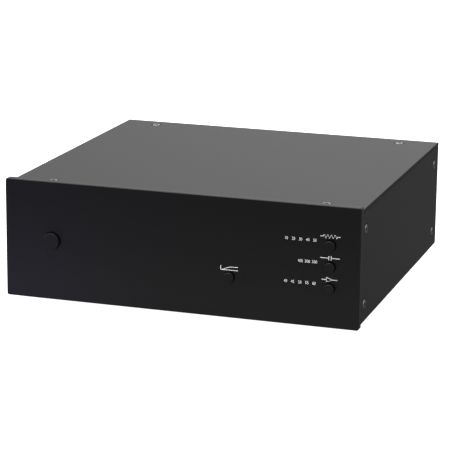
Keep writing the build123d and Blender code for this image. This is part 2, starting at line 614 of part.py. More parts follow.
# ---------------------------------------------------------------- feet
def foot(place):
    """Round rubber foot with a well for its screw."""
    x, y = FOOT_PLACES[place]
    outline = [
        (THREAD_RADIUS, CASE_BOTTOM_Z),
        (FOOT_RADIUS, CASE_BOTTOM_Z),
        (FOOT_RADIUS, FOOT_TAPER * 2),
        (FOOT_RADIUS - FOOT_TAPER / 2, FOOT_TAPER / 2),
        (FOOT_RADIUS - FOOT_TAPER, 0),
        (FOOT_WELL_RADIUS, 0),
        (FOOT_WELL_RADIUS, FOOT_WELL_DEPTH),
        (THREAD_RADIUS, FOOT_WELL_DEPTH),
    ]
    return turned(outline, (x, y, 0), (0, 0, 1))


def foot_screws():
    """Four screws up through the feet into the base plate."""
    seats = [(x, y, FOOT_WELL_DEPTH) for x, y in FOOT_PLACES.values()]
    return joined(pan_screw(seat, (0, 0, 1), FOOT_SCREW_LENGTH) for seat in seats)


# ---------------------------------------------------------------- front controls
def button(control):
    """Turned cap with a retaining collar behind the panel and a stem that meets the plunger."""
    nose_y = FRONT_Y - BUTTON_PROUD
    collar_start = PANEL_BACK_Y + BUTTON_COLLAR_GAP - nose_y
    collar_end = collar_start + BUTTON_COLLAR_THICKNESS
    collar_radius = control.radius + BUTTON_COLLAR_WIDTH
    outline = [
        (0, 0),
        (control.radius - BUTTON_EDGE_BREAK, 0),
        (control.radius, BUTTON_EDGE_BREAK),
        (control.radius, collar_start),
        (collar_radius, collar_start),
        (collar_radius, collar_end),
        (BUTTON_STEM_RADIUS, collar_end),
        (BUTTON_STEM_RADIUS, PLUNGER_FRONT_Y - nose_y),
        (0, PLUNGER_FRONT_Y - nose_y),
    ]
    return turned(outline, (control.x, nose_y, control.z), (0, 1, 0))


def plunger(control):
    """Moving pin of the switch behind a button."""
    start = (control.x, PLUNGER_FRONT_Y, control.z)
    return rod(PLUNGER_RADIUS, start, (control.x, PLUNGER_FRONT_Y + PLUNGER_LENGTH, control.z))


def button_switch(control):
    """Square push switch with a well for its plunger."""
    body = block(
        around(control.x, SWITCH_WIDTH), (SWITCH_FRONT_Y, CONTROL_BOARD_Y), around(control.z, SWITCH_WIDTH)
    )
    body = chamfer(body.faces().sort_by(Axis.Y)[0].edges(), SOFT_EDGE)
    well_end = (control.x, SWITCH_FRONT_Y + SWITCH_WELL_DEPTH, control.z)
    return body - rod(PLUNGER_RADIUS + PLUNGER_GAP, (control.x, SWITCH_FRONT_Y - 1, control.z), well_end)


def button_switches():
    """Five switches on the control board, one behind each button."""
    return joined(button_switch(control) for control in CONTROLS)


def light_bar(control):
    """Clear moulded bar behind the frame, with one pin per light through to the panel's face."""
    first_x, z = control.lights[0]
    last_x = control.lights[-1][0]
    x_limits = (first_x - LIGHT_BAR_END, last_x + LIGHT_BAR_END)
    bar = block(x_limits, (WEB_BACK_Y, GUIDE_BACK_Y), around(z, LIGHT_BAR_HEIGHT))
    for x, _ in control.lights:
        bar += rod(LED_HOLE_RADIUS - LIGHT_PIN_GAP, (x, FRONT_Y, z), (x, WEB_BACK_Y + SOFT_EDGE, z))
    notch_y = (GUIDE_BACK_Y - LIGHT_NOTCH_DEPTH, GUIDE_BACK_Y + 1)
    for x, _ in control.lights[:-1]:
        notch_x = around(x + LED_PITCH / 2, LIGHT_NOTCH_WIDTH)
        bar -= block(notch_x, notch_y, around(z, 2 * LIGHT_BAR_HEIGHT))
    return bar


def indicator_leds():
    """Small surface lights on the control board, one behind each pin of the light bars."""
    places = [place for control in CONTROLS for place in control.lights]
    return joined(
        block(around(x, LED_WIDTH), (CONTROL_BOARD_Y - LED_HEIGHT, CONTROL_BOARD_Y), around(z, LED_WIDTH / 2))
        for x, z in places
    )


def control_board():
    """Circuit board behind the front frame that carries the switches and lights."""
    board = block(
        (-CONTROL_BOARD_HALF_WIDTH, CONTROL_BOARD_HALF_WIDTH),
        (CONTROL_BOARD_Y, CONTROL_BOARD_BACK_Y),
        around(FRAME_MIDDLE_Z, 2 * CONTROL_BOARD_HALF_HEIGHT),
    )
    for x, z in CONTROL_BOARD_SCREW_PLACES:
        board -= bore_y(CLEARANCE_HOLE_RADIUS, x, z, CONTROL_BOARD_Y, CONTROL_BOARD_BACK_Y)
    return board


# ---------------------------------------------------------------- boards' fixings
def spacer(start, direction):
    """Six-sided threaded spacer that stands on a sheet."""
    end = step_along(start, direction, SPACER_LENGTH)
    thread = rod(THREAD_RADIUS, step_along(start, direction, -1), step_along(end, direction, 1))
    return hexagon_bar(SPACER_WIDTH, start, end) - thread


def board_spacers():
    """Eight like spacers, four behind the front frame and four on the base plate."""
    front = [spacer((x, WEB_BACK_Y, z), (0, 1, 0)) for x, z in CONTROL_BOARD_SCREW_PLACES]
    base = [spacer((x, y, BASE_TOP_Z), (0, 0, 1)) for x, y in MAIN_BOARD_SCREW_PLACES]
    return joined(front + base)


def board_screws():
    """Eight like screws that hold the two boards on their spacers."""
    control_seats = [(x, CONTROL_BOARD_BACK_Y, z) for x, z in CONTROL_BOARD_SCREW_PLACES]
    main_seats = [(x, y, MAIN_BOARD_TOP_Z) for x, y in MAIN_BOARD_SCREW_PLACES]
    control_screws = [pan_screw(seat, (0, -1, 0), BOARD_SCREW_LENGTH) for seat in control_seats]
    main_screws = [pan_screw(seat, (0, 0, -1), BOARD_SCREW_LENGTH) for seat in main_seats]
    return joined(control_screws + main_screws)


# ---------------------------------------------------------------- rear connectors
def phono_socket(x, z):
    """Barrel, flange and threaded tail of a signal socket, turned in one piece."""
    flange_start = BARREL_LENGTH
    flange_end = flange_start + SOCKET_FLANGE_THICKNESS
    tail_end = flange_end + SOCKET_TAIL_LENGTH
    outline = [
        (BARREL_BORE_RADIUS, 0),
        (BARREL_RADIUS - BARREL_EDGE_BREAK, 0),
        (BARREL_RADIUS, BARREL_EDGE_BREAK),
        (BARREL_RADIUS, flange_start),
        (SOCKET_FLANGE_RADIUS, flange_start),
        (SOCKET_FLANGE_RADIUS, flange_end),
        (SOCKET_TAIL_RADIUS, flange_end),
        (SOCKET_TAIL_RADIUS, tail_end),
        (BARREL_BORE_RADIUS, tail_end),
    ]
    return turned(outline, (x, SOCKET_TIP_Y, z), (0, -1, 0))


def socket_insulator(x, z):
    """Insulating core inside a socket, with a hole for the centre contact."""
    end_y = SOCKET_TIP_Y - BARREL_LENGTH - SOCKET_FLANGE_THICKNESS - SOCKET_TAIL_LENGTH
    core = rod(BARREL_BORE_RADIUS - INSULATOR_GAP, (x, end_y, z), (x, SOCKET_TIP_Y - INSULATOR_DROP, z))
    return core - bore_y(CONTACT_RADIUS + INSULATOR_GAP, x, z, end_y, SOCKET_TIP_Y)


def socket_insulators():
    """Insulating cores of the four sockets."""
    return joined(socket_insulator(x, z) for x, z in SOCKET_PLACES)


def socket_contact(x, z):
    """Centre contact: a tube that takes a plug's pin, closed at the back by its solder tail."""
    start = INSULATOR_DROP + CONTACT_DROP
    tail_end = BARREL_LENGTH + SOCKET_FLANGE_THICKNESS + SOCKET_TAIL_LENGTH + CONTACT_TAIL
    outline = [
        (CONTACT_BORE_RADIUS, start),
        (CONTACT_RADIUS, start),
        (CONTACT_RADIUS, tail_end - CONTACT_TAIL),
        (CONTACT_RADIUS / 2, tail_end - CONTACT_TAIL),
        (CONTACT_RADIUS / 2, tail_end),
        (0, tail_end),
        (0, start + CONTACT_BORE_DEPTH),
        (CONTACT_BORE_RADIUS, start + CONTACT_BORE_DEPTH),
    ]
    return turned(outline, (x, SOCKET_TIP_Y, z), (0, -1, 0))


def socket_contacts():
    """Centre contacts of the four sockets."""
    return joined(socket_contact(x, z) for x, z in SOCKET_PLACES)


def channel_rings(z):
    """Coloured insulating rings at both sides of the rear panel, for one channel's two sockets."""
    outer = [
        (RING_BORE_RADIUS, 0),
        (RING_RADIUS, 0),
        (RING_RADIUS, RING_THICKNESS),
        (RING_SHOULDER_RADIUS, RING_THICKNESS),
        (RING_SHOULDER_RADIUS, RING_THICKNESS + RING_SHOULDER_LENGTH),
        (RING_BORE_RADIUS, RING_THICKNESS + RING_SHOULDER_LENGTH),
    ]
    inner = [
        (RING_BORE_RADIUS, 0),
        (RING_RADIUS, 0),
        (RING_RADIUS, RING_THICKNESS),
        (RING_BORE_RADIUS, RING_THICKNESS),
    ]
    rings = []
    for x in (INPUT_X, OUTPUT_X):
        rings.append(turned(outer, (x, REAR_FACE_Y + RING_THICKNESS, z), (0, -1, 0)))
        rings.append(turned(inner, (x, REAR_INNER_Y, z), (0, -1, 0)))
    return joined(rings)


def socket_nut(x, z):
    """Six-sided nut on a socket's tail, behind the inner ring."""
    start_y = REAR_INNER_Y - RING_THICKNESS
    end_y = start_y - SOCKET_NUT_THICKNESS
    nut = hexagon_bar(SOCKET_NUT_WIDTH, (x, start_y, z), (x, end_y, z))
    return nut - rod(SOCKET_TAIL_RADIUS + THREAD_GAP, (x, start_y + 1, z), (x, end_y - 1, z))


def socket_nuts():
    """Nuts of the four sockets."""
    return joined(socket_nut(x, z) for x, z in SOCKET_PLACES)


def ground_post():
    """Stud from inside the case out through the rear panel, with a six-sided head inside."""
    head_end_y = REAR_INNER_Y - GROUND_HEAD_THICKNESS
    tip_y = SOCKET_TIP_Y - GROUND_POST_TIP_DROP
    head_end = (GROUND_X, head_end_y, SOCKET_MIDDLE_Z)
    head = hexagon_bar(GROUND_HEAD_WIDTH, (GROUND_X, REAR_INNER_Y, SOCKET_MIDDLE_Z), head_end)
    stud = rod(GROUND_POST_RADIUS, head_end, (GROUND_X, tip_y, SOCKET_MIDDLE_Z))
    stud = chamfer(stud.faces().sort_by(Axis.Y)[-1].edges(), SOFT_EDGE)
    return head + stud


def ground_washer():
    """Flat washer between the rear panel and the thumb nut."""
    start_y = REAR_FACE_Y + FACE_GAP
    end_y = start_y + GROUND_WASHER_THICKNESS
    start = (GROUND_X, start_y, SOCKET_MIDDLE_Z)
    washer = rod(GROUND_WASHER_RADIUS, start, (GROUND_X, end_y, SOCKET_MIDDLE_Z))
    return washer - bore_y(GROUND_POST_RADIUS + GROUND_WASHER_GAP, GROUND_X, SOCKET_MIDDLE_Z, start_y, end_y)


def ground_nut():
    """Fluted thumb nut with a plain hub at its inner end."""
    start_y = REAR_FACE_Y + 2 * FACE_GAP + GROUND_WASHER_THICKNESS
    outline = [
        (GROUND_POST_RADIUS + RUNNING_GAP, 0),
        (GROUND_NUT_HUB_RADIUS, 0),
        (GROUND_NUT_HUB_RADIUS, GROUND_NUT_HUB_LENGTH),
        (GROUND_NUT_RADIUS - SOFT_EDGE, GROUND_NUT_HUB_LENGTH),
        (GROUND_NUT_RADIUS, GROUND_NUT_HUB_LENGTH + SOFT_EDGE),
        (GROUND_NUT_RADIUS, GROUND_NUT_LENGTH - SOFT_EDGE),
        (GROUND_NUT_RADIUS - SOFT_EDGE, GROUND_NUT_LENGTH),
        (GROUND_POST_RADIUS + RUNNING_GAP, GROUND_NUT_LENGTH),
    ]
    nut = turned(outline, (0, 0, 0), (0, 0, 1))
    flute = rod(
        GROUND_NUT_FLUTE_RADIUS,
        (GROUND_NUT_RADIUS, 0, GROUND_NUT_HUB_LENGTH - 1),
        (GROUND_NUT_RADIUS, 0, GROUND_NUT_LENGTH + 1),
    )
    for step in range(GROUND_NUT_FLUTES):
        nut -= Rot(0, 0, step * 360 / GROUND_NUT_FLUTES) * flute
    return Plane(origin=(GROUND_X, start_y, SOCKET_MIDDLE_Z), z_dir=(0, 1, 0)) * nut


def board_connector(x, body_width, body_depth, nose_radius, nose_y):
    """Block on the main board, against the rear panel, with a round nose out through it."""
    body = block(
        around(x, body_width),
        (REAR_INNER_Y - body_depth, REAR_INNER_Y),
        (MAIN_BOARD_TOP_Z, 2 * CONNECTOR_Z - MAIN_BOARD_TOP_Z),
    )
    return body + rod(nose_radius, (x, REAR_INNER_Y - 1, CONNECTOR_Z), (x, nose_y, CONNECTOR_Z))


def trigger_jack(x):
    """Control jack with a blind bore for its plug."""
    nose_y = REAR_FACE_Y + JACK_NOSE_REACH
    body = board_connector(x, JACK_BODY_WIDTH, JACK_BODY_DEPTH, JACK_NOSE_RADIUS, nose_y)
    bore_end = (x, nose_y - JACK_BORE_DEPTH, CONNECTOR_Z)
    return body - rod(JACK_BORE_RADIUS, (x, nose_y + 1, CONNECTOR_Z), bore_end)


def trigger_jacks():
    """Trigger input and trigger output."""
    return joined(trigger_jack(x) for x in TRIGGER_XS)


def dc_inlet():
    """Supply inlet with a wide mouth for a barrel plug."""
    nose_y = REAR_FACE_Y + INLET_NOSE_REACH
    body = board_connector(INLET_X, INLET_BODY_WIDTH, INLET_BODY_DEPTH, INLET_NOSE_RADIUS, nose_y)
    bore_end = (INLET_X, nose_y - INLET_BORE_DEPTH, CONNECTOR_Z)
    return body - rod(INLET_BORE_RADIUS, (INLET_X, nose_y + 1, CONNECTOR_Z), bore_end)


def dc_inlet_pin():
    """Centre pin that stands on the floor of the supply inlet."""
    nose_y = REAR_FACE_Y + INLET_NOSE_REACH
    start = (INLET_X, nose_y - INLET_BORE_DEPTH, CONNECTOR_Z)
    pin = rod(INLET_PIN_RADIUS, start, (INLET_X, nose_y - INLET_PIN_DROP, CONNECTOR_Z))
    return chamfer(pin.faces().sort_by(Axis.Y)[-1].edges(), SOFT_EDGE)


# ---------------------------------------------------------------- main board
def main_board():
    """Circuit board on spacers above the base plate."""
    board = block(
        (-MAIN_BOARD_HALF_WIDTH, MAIN_BOARD_HALF_WIDTH),
        (MAIN_BOARD_FRONT_Y, MAIN_BOARD_REAR_Y),
        (MAIN_BOARD_Z, MAIN_BOARD_TOP_Z),
    )
    for x, y in MAIN_BOARD_SCREW_PLACES:
        board -= rod(CLEARANCE_HOLE_RADIUS, (x, y, MAIN_BOARD_Z - 1), (x, y, MAIN_BOARD_TOP_Z + 1))
    return board


def filter_can(x, y):
    """Upright can of a smoothing capacitor, grooved near its foot."""
    outline = [
        (0, 0),
        (CAN_RADIUS, 0),
        (CAN_RADIUS, 2 * CAN_EDGE),
        (CAN_RADIUS - CAN_GROOVE, 3 * CAN_EDGE),
        (CAN_RADIUS, 4 * CAN_EDGE),
        (CAN_RADIUS, CAN_HEIGHT - CAN_EDGE),
        (CAN_RADIUS - CAN_EDGE, CAN_HEIGHT),
        (0, CAN_HEIGHT),
    ]
    return turned(outline, (x, y, MAIN_BOARD_TOP_Z), (0, 0, 1))


def filter_capacitors():
    """Four smoothing capacitors in front of the supply inlet."""
    first_y = REAR_INNER_Y - INLET_BODY_DEPTH - CAN_PITCH
    steps = [(column * CAN_PITCH, row * CAN_PITCH) for column in range(2) for row in range(2)]
    return joined(filter_can(FIRST_CAN_X + across, first_y - back) for across, back in steps)


def heat_sink():
    """Finned cooler of the supply regulators, standing on the main board."""
    left_x = HEAT_SINK_SIDE_INSET - MAIN_BOARD_HALF_WIDTH
    front_y = MAIN_BOARD_FRONT_Y + HEAT_SINK_FRONT_INSET
    top_z = MAIN_BOARD_TOP_Z + HEAT_SINK_HEIGHT
    y_limits = (front_y, front_y + HEAT_SINK_DEPTH)
    z_limits = (MAIN_BOARD_TOP_Z, top_z)
    sink = block((left_x, left_x + HEAT_SINK_WIDTH), (front_y, front_y + HEAT_SINK_WEB), z_limits)
    fin_step = (HEAT_SINK_WIDTH - HEAT_SINK_FIN_THICKNESS) / (HEAT_SINK_FINS - 1)
    for fin in range(HEAT_SINK_FINS):
        fin_x = left_x + fin * fin_step
        sink += block((fin_x, fin_x + HEAT_SINK_FIN_THICKNESS), y_limits, z_limits)
    return sink


def board_box(x, y, size):
    """Box-shaped component that stands on the main board; size is width, depth and height."""
    width, depth, height = size
    box = block(around(x, width), around(y, depth), (MAIN_BOARD_TOP_Z, MAIN_BOARD_TOP_Z + height))
    return chamfer(box.faces().sort_by(Axis.Z)[-1].edges(), SOFT_EDGE)


def film_capacitors():
    """Box-shaped signal capacitors in front of the output sockets."""
    first_y = REAR_INNER_Y - REAR_FLANGE_DEPTH - FILM_REAR_INSET
    size = (FILM_WIDTH, FILM_DEPTH, FILM_HEIGHT)
    return joined(board_box(OUTPUT_X, first_y - row * FILM_PITCH, size) for row in range(4))


def relays():
    """Signal relays in front of the input sockets, one row for each loading choice."""
    first_y = REAR_INNER_Y - REAR_FLANGE_DEPTH - RELAY_REAR_INSET
    size = (RELAY_WIDTH, RELAY_DEPTH, RELAY_HEIGHT)
    row_pitch = RELAY_DEPTH + RELAY_ROW_GAP
    steps = [(column * RELAY_PITCH, row * row_pitch) for column in range(3) for row in range(2)]
    return joined(board_box(INPUT_X - across, first_y - back, size) for across, back in steps)


def amplifier_chip(x, y):
    """Dual amplifier chip with the half-round notch at its end."""
    chip = board_box(x, y, (CHIP_WIDTH, CHIP_DEPTH, CHIP_HEIGHT))
    notch_x = x - CHIP_WIDTH / 2
    top_z = MAIN_BOARD_TOP_Z + CHIP_HEIGHT
    return chip - rod(CHIP_NOTCH_RADIUS, (notch_x, y, top_z + 1), (notch_x, y, top_z - CHIP_NOTCH_RADIUS))


def amplifier_chips():
    """Six amplifier chips near the front of the main board."""
    first_y = MAIN_BOARD_FRONT_Y + CHIP_FRONT_INSET
    steps = [(column * CHIP_COLUMN_PITCH, row * CHIP_PITCH) for column in range(2) for row in range(3)]
    return joined(amplifier_chip(INPUT_X - across, first_y + back) for across, back in steps)


# ---------------------------------------------------------------- cable between the boards
HEADER_Z = FRAME_MIDDLE_Z
CONTROL_HEADER_END_Y = CONTROL_BOARD_BACK_Y + HEADER_HEIGHT
RIBBON_DOWN_Y = CONTROL_HEADER_END_Y + RIBBON_RUN
MAIN_HEADER_TOP_Z = MAIN_BOARD_TOP_Z + HEADER_HEIGHT


def ribbon_headers():
    """Two plug-and-header blocks, one on the back of the control board and one on the main board."""
    x_limits = around(RIBBON_X, HEADER_WIDTH)
    rear = block(x_limits, (CONTROL_BOARD_BACK_Y, CONTROL_HEADER_END_Y), around(HEADER_Z, HEADER_DEPTH))
    lower = block(x_limits, around(RIBBON_DOWN_Y, HEADER_DEPTH), (MAIN_BOARD_TOP_Z, MAIN_HEADER_TOP_Z))
    return joined([rear, lower])


def last_edge_at(cable, z):
    """Rearmost edge that crosses a cable at one height."""
    across = cable.edges().filter_by(Axis.X)
    return across.filter_by_position(Axis.Z, z - FACE_GAP, z + FACE_GAP).sort_by(Axis.Y)[-1:]


def ribbon_cable():
    """Flat cable, level out of the control board's header and down to the main board's header."""
    x_limits = around(RIBBON_X, RIBBON_WIDTH)
    half = RIBBON_THICKNESS / 2
    level = block(x_limits, (CONTROL_HEADER_END_Y, RIBBON_DOWN_Y + half), around(HEADER_Z, RIBBON_THICKNESS))
    upright = block(x_limits, around(RIBBON_DOWN_Y, RIBBON_THICKNESS), (MAIN_HEADER_TOP_Z, HEADER_Z + half))
    cable = level + upright
    cable = fillet(last_edge_at(cable, HEADER_Z - half), RIBBON_BEND_RADIUS)
    return fillet(last_edge_at(cable, HEADER_Z + half), RIBBON_BEND_RADIUS + RIBBON_THICKNESS)


# ---------------------------------------------------------------- files
def all_nodes():
    """Every node of the assembly by name."""
    nodes = {
        "front_panel": front_panel(),
        "front_frame": front_frame(),
        "rear_panel": rear_panel(),
        "top_cover": top_cover(),
        "base_plate": base_plate(),
        "side_plate_left": side_plate(-1),
        "side_plate_right": side_plate(1),
        "foot_screws": foot_screws(),
        "top_screws": top_screws(),
        "side_screws": side_screws(),
        "base_screws": base_screws(),
        "front_panel_screws": front_panel_screws(),
        "button_switches": button_switches(),
        "control_board": control_board(),
        "board_spacers": board_spacers(),
        "board_screws": board_screws(),
        "indicator_leds": indicator_leds(),
        "power_light_guide": light_bar(POWER),
        "subsonic_light_guide": light_bar(SUBSONIC),
        "resistance_light_bar": light_bar(RESISTANCE),
        "capacitance_light_bar": light_bar(CAPACITANCE),
        "gain_light_bar": light_bar(GAIN),
        "input_left_socket": phono_socket(INPUT_X, LEFT_CHANNEL_Z),
        "input_right_socket": phono_socket(INPUT_X, RIGHT_CHANNEL_Z),
        "output_left_socket": phono_socket(OUTPUT_X, LEFT_CHANNEL_Z),
        "output_right_socket": phono_socket(OUTPUT_X, RIGHT_CHANNEL_Z),
        "socket_insulators": socket_insulators(),
        "left_channel_rings": channel_rings(LEFT_CHANNEL_Z),
        "right_channel_rings": channel_rings(RIGHT_CHANNEL_Z),
        "socket_contacts": socket_contacts(),
        "socket_nuts": socket_nuts(),
        "ground_post": ground_post(),
        "ground_washer": ground_washer(),
        "ground_nut": ground_nut(),
        "dc_inlet": dc_inlet(),
        "dc_inlet_pin": dc_inlet_pin(),
        "trigger_jacks": trigger_jacks(),
        "main_board": main_board(),
        "filter_capacitors": filter_capacitors(),
        "film_capacitors": film_capacitors(),
        "relays": relays(),
        "amplifier_chips": amplifier_chips(),
        "heat_sink": heat_sink(),
        "ribbon_cable": ribbon_cable(),
        "ribbon_headers": ribbon_headers(),
    }
    for place in FOOT_PLACES:
        nodes["foot_" + place] = foot(place)
    for control in CONTROLS:
        nodes[control.name + "_button"] = button(control)
        nodes[control.name + "_plunger"] = plunger(control)
    return nodes


os.makedirs("parts", exist_ok=True)
for node_name, node_shape in all_nodes().items():
    export_step(node_shape, "parts/" + node_name + ".step")
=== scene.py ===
"""Looks of a phono preamplifier in a low aluminium case: finishes, printed signs, fittings and studio."""

import logging
import math
from dataclasses import dataclass, field
from enum import Enum
from itertools import product

import bmesh
import bpy
from mathutils import Matrix, Vector


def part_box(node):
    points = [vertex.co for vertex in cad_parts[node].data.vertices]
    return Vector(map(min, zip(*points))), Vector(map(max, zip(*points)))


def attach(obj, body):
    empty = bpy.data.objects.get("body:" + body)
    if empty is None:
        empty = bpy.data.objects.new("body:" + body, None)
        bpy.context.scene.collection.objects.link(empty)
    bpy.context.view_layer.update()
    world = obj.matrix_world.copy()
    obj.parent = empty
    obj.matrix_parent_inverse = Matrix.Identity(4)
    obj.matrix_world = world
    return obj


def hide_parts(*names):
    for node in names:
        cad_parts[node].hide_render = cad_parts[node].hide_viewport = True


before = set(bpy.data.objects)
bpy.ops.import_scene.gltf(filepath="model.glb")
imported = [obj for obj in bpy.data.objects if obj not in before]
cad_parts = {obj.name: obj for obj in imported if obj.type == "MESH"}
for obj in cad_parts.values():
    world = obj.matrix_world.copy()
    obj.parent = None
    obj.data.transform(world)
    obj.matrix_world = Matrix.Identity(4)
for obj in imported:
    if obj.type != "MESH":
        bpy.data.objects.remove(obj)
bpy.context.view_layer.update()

MM = 0.001
HEXAGON = 6
MERGE_DISTANCE = 1e-4
CREASE = math.radians(32)
LOG = logging.getLogger("preamplifier")

Material = bpy.types.Material
Mesh = bpy.types.Mesh
Node = bpy.types.Node
Socket = bpy.types.NodeSocket
Tree = bpy.types.NodeTree
Line = list[tuple[float, float]]


def linear(hex_colour: str) -> tuple[float, float, float, float]:
    """Turns an sRGB hex colour into linear light.

    Args:
        hex_colour: six hexadecimal digits, such as "1b1b1d".

    Returns:
        Linear red, green and blue, and an alpha of 1.
    """
    parts = [int(hex_colour[start:start + 2], 16) / 255 for start in (0, 2, 4)]
    red, green, blue = [v / 12.92 if v <= 0.04045 else ((v + 0.055) / 1.055) ** 2.4 for v in parts]
    return red, green, blue, 1.0


def add_node(tree: Tree, kind: str, inputs: dict | None = None, **settings: object) -> Node:
    """Adds one node with its settings, its plain input values and its links.

    Args:
        tree: node tree of a material or of the world.
        kind: type name of the node without its "ShaderNode" start.
        inputs: a value or another node's output for each input, by name or number.
        settings: attributes of the node.

    Returns:
        The new node.
    """
    node = tree.nodes.new("ShaderNode" + kind)
    for name, value in settings.items():
        setattr(node, name, value)
    for key, value in (inputs or {}).items():
        if isinstance(value, Socket):
            tree.links.new(value, node.inputs[key])
        else:
            node.inputs[key].default_value = value
    return node


def socket(tree: Tree, kind: str, inputs: dict, **settings: object) -> Socket:
    """Adds one node and gives its first output."""
    return add_node(tree, kind, inputs, **settings).outputs[0]


def noise(tree: Tree, place: Socket, scale: float, detail: float) -> Socket:
    """Adds a noise texture and gives its value."""
    return socket(tree, "TexNoise", {"Vector": place, "Scale": scale, "Detail": detail})


class Axis(Enum):
    """Direction that a pattern runs along or a screw is driven along."""

    X = 0
    Y = 1
    Z = 2


@dataclass(frozen=True)
class Finish:
    """A surface as a maker would specify it; each process below draws its own pattern.

    Args:
        name: name of the material.
        colour, second: sRGB hex of the surface, and what its pattern drifts to.
        roughness, spread: middle roughness, and how far the pattern moves it.
        metallic, ior: 1 for bare metal, and index of refraction of any other surface.
        grain, relief: spacing and height of the pattern in millimetres.
    """

    name: str
    colour: str
    second: str
    roughness: float = 0.4
    spread: float = 0.05
    metallic: float = 0.0
    ior: float = 1.5
    grain: float = 0.5
    relief: float = 0.01

    @property
    def scale(self) -> float:
        """Cells of the pattern in one metre."""
        return 1 / (self.grain * MM)

    def pattern(self, tree: Tree, place: Socket) -> Socket:
        """Draws the pattern of the process, which is an even tooth unless a finish has its own.

        Args:
            tree: node tree of the material.
            place: coordinates in metres.

        Returns:
            A value from 0 to 1.
        """
        return noise(tree, place, self.scale, 3.0)

    def rough(self, tree: Tree, roughness: Socket) -> Socket:
        """Passes the roughness on; a finish with duller edges changes it."""
        return roughness

    def shade(self, tree: Tree, shader: Node) -> None:
        """Sets what only some finishes have, such as a coat or clearness."""

    def build(self) -> Material:
        """Makes the material: pattern to colour, roughness and relief."""
        material = bpy.data.materials.new(self.name)
        material.use_nodes = True
        tree = material.node_tree
        tree.nodes.clear()
        place = add_node(tree, "TexCoord").outputs["Object"]
        pattern = self.pattern(tree, place)
        colours = {0: pattern, 6: linear(self.colour), 7: linear(self.second)}
        colour = add_node(tree, "Mix", colours, data_type="RGBA").outputs[2]
        limits = {"To Min": self.roughness - self.spread, "To Max": self.roughness + self.spread}
        roughness = socket(tree, "MapRange", {"Value": pattern, **limits})
        bump = add_node(tree, "Bump", {"Height": pattern, "Distance": self.relief * MM, "Strength": 1.0})
        shader = add_node(
            tree,
            "BsdfPrincipled",
            {
                "Base Color": colour,
                "Roughness": self.rough(tree, roughness),
                "Normal": bump.outputs[0],
                "Metallic": self.metallic,
                "IOR": self.ior,
            },
        )
        self.shade(tree, shader)
        add_node(tree, "OutputMaterial", {"Surface": shader.outputs[0]})
        return material


@dataclass(frozen=True)
class BlastedAnodised(Finish):
    """Aluminium, glass-bead blasted and dyed black in the anodising bath.

    Args:
        cloud: width of the drift of the dye in millimetres.
    """

    cloud: float = 45.0

    def pattern(self, tree: Tree, place: Socket) -> Socket:
        """Draws bead dimples on a very broad drift of the dye."""
        drift_share = 0.35
        beads = noise(tree, place, self.scale, 2.0)
        drift = noise(tree, place, 1 / (self.cloud * MM), 1.0)
        return socket(tree, "Mix", {0: drift_share, 2: beads, 3: drift})


@dataclass(frozen=True)
class RolledSheet(Finish):
    """Rolled or drawn metal whose fine lines run along one axis and are softened by the finish on top.

    Args:
        along: direction of the lines.
        facing: direction that the sheet's faces look along.
        stretch: length of a line against its width.
        cut_edge: roughness of the sawn edges, or 0 where they are like the faces.
    """

    along: Axis = Axis.X
    facing: Axis = Axis.Z
    stretch: float = 12.0
    cut_edge: float = 0.0

    def rough(self, tree: Tree, roughness: Socket) -> Socket:
        """Makes sawn edges, which don't face the way that the sheet does, duller than its rolled faces."""
        if not self.cut_edge:
            return roughness
        face_ends, edge_full = 0.95, 0.8
        normal = add_node(tree, "TexCoord").outputs["Normal"]
        across = add_node(tree, "SeparateXYZ", {0: normal}).outputs[self.facing.value]
        facing = socket(tree, "Math", {0: across}, operation="ABSOLUTE")
        edge = socket(tree, "MapRange", {"Value": facing, "From Min": face_ends, "From Max": edge_full})
        return socket(tree, "Mix", {0: edge, 2: roughness, 3: self.cut_edge})

    def pattern(self, tree: Tree, place: Socket) -> Socket:
        """Draws noise out along the lines and mixes it with fine tooth."""
        tooth_share, tooth_fineness = 0.6, 1.7
        squeeze = [1.0, 1.0, 1.0]
        squeeze[self.along.value] = 1 / self.stretch
        drawn = socket(tree, "Mapping", {"Vector": place, "Scale": squeeze})
        lines = noise(tree, drawn, self.scale, 3.0)
        tooth = noise(tree, place, tooth_fineness * self.scale, 2.0)
        return socket(tree, "Mix", {0: tooth_share, 2: lines, 3: tooth})


@dataclass(frozen=True)
class TurnedMetal(Finish):
    """Metal turned on a lathe, then plated: fine lines round the axis of the piece.

    Args:
        axis: turning axis.
    """

    axis: Axis = Axis.Y

    def pattern(self, tree: Tree, place: Socket) -> Socket:
        """Draws tool lines that change along the turning axis, with a little random drift."""
        wander = 0.04
        squeeze = [wander, wander, wander]
        squeeze[self.axis.value] = 1.0
        rings = socket(tree, "Mapping", {"Vector": place, "Scale": squeeze})
        return noise(tree, rings, self.scale, 4.0)


@dataclass(frozen=True)
class ZincPlate(Finish):
    """Bright zinc on steel: pale crystals a few millimetres wide."""

    def pattern(self, tree: Tree, place: Socket) -> Socket:
        """Draws crystal cells softened with finer noise."""
        cloud_share, fineness = 0.5, 2.0
        cells = add_node(tree, "TexVoronoi", {"Vector": place, "Scale": self.scale}).outputs["Color"]
        grey = socket(tree, "RGBToBW", {0: cells})
        cloud = noise(tree, place, fineness * self.scale, 4.0)
        return socket(tree, "Mix", {0: cloud_share, 2: grey, 3: cloud})


@dataclass(frozen=True)
class PowderCoat(Finish):
    """Baked powder coat: low orange-peel relief on an even colour."""

    def pattern(self, tree: Tree, place: Socket) -> Socket:
        """Draws the rounded cells of the melted powder."""
        cells = {"Vector": place, "Scale": self.scale, "Smoothness": 1.0}
        return add_node(tree, "TexVoronoi", cells, feature="SMOOTH_F1").outputs["Distance"]


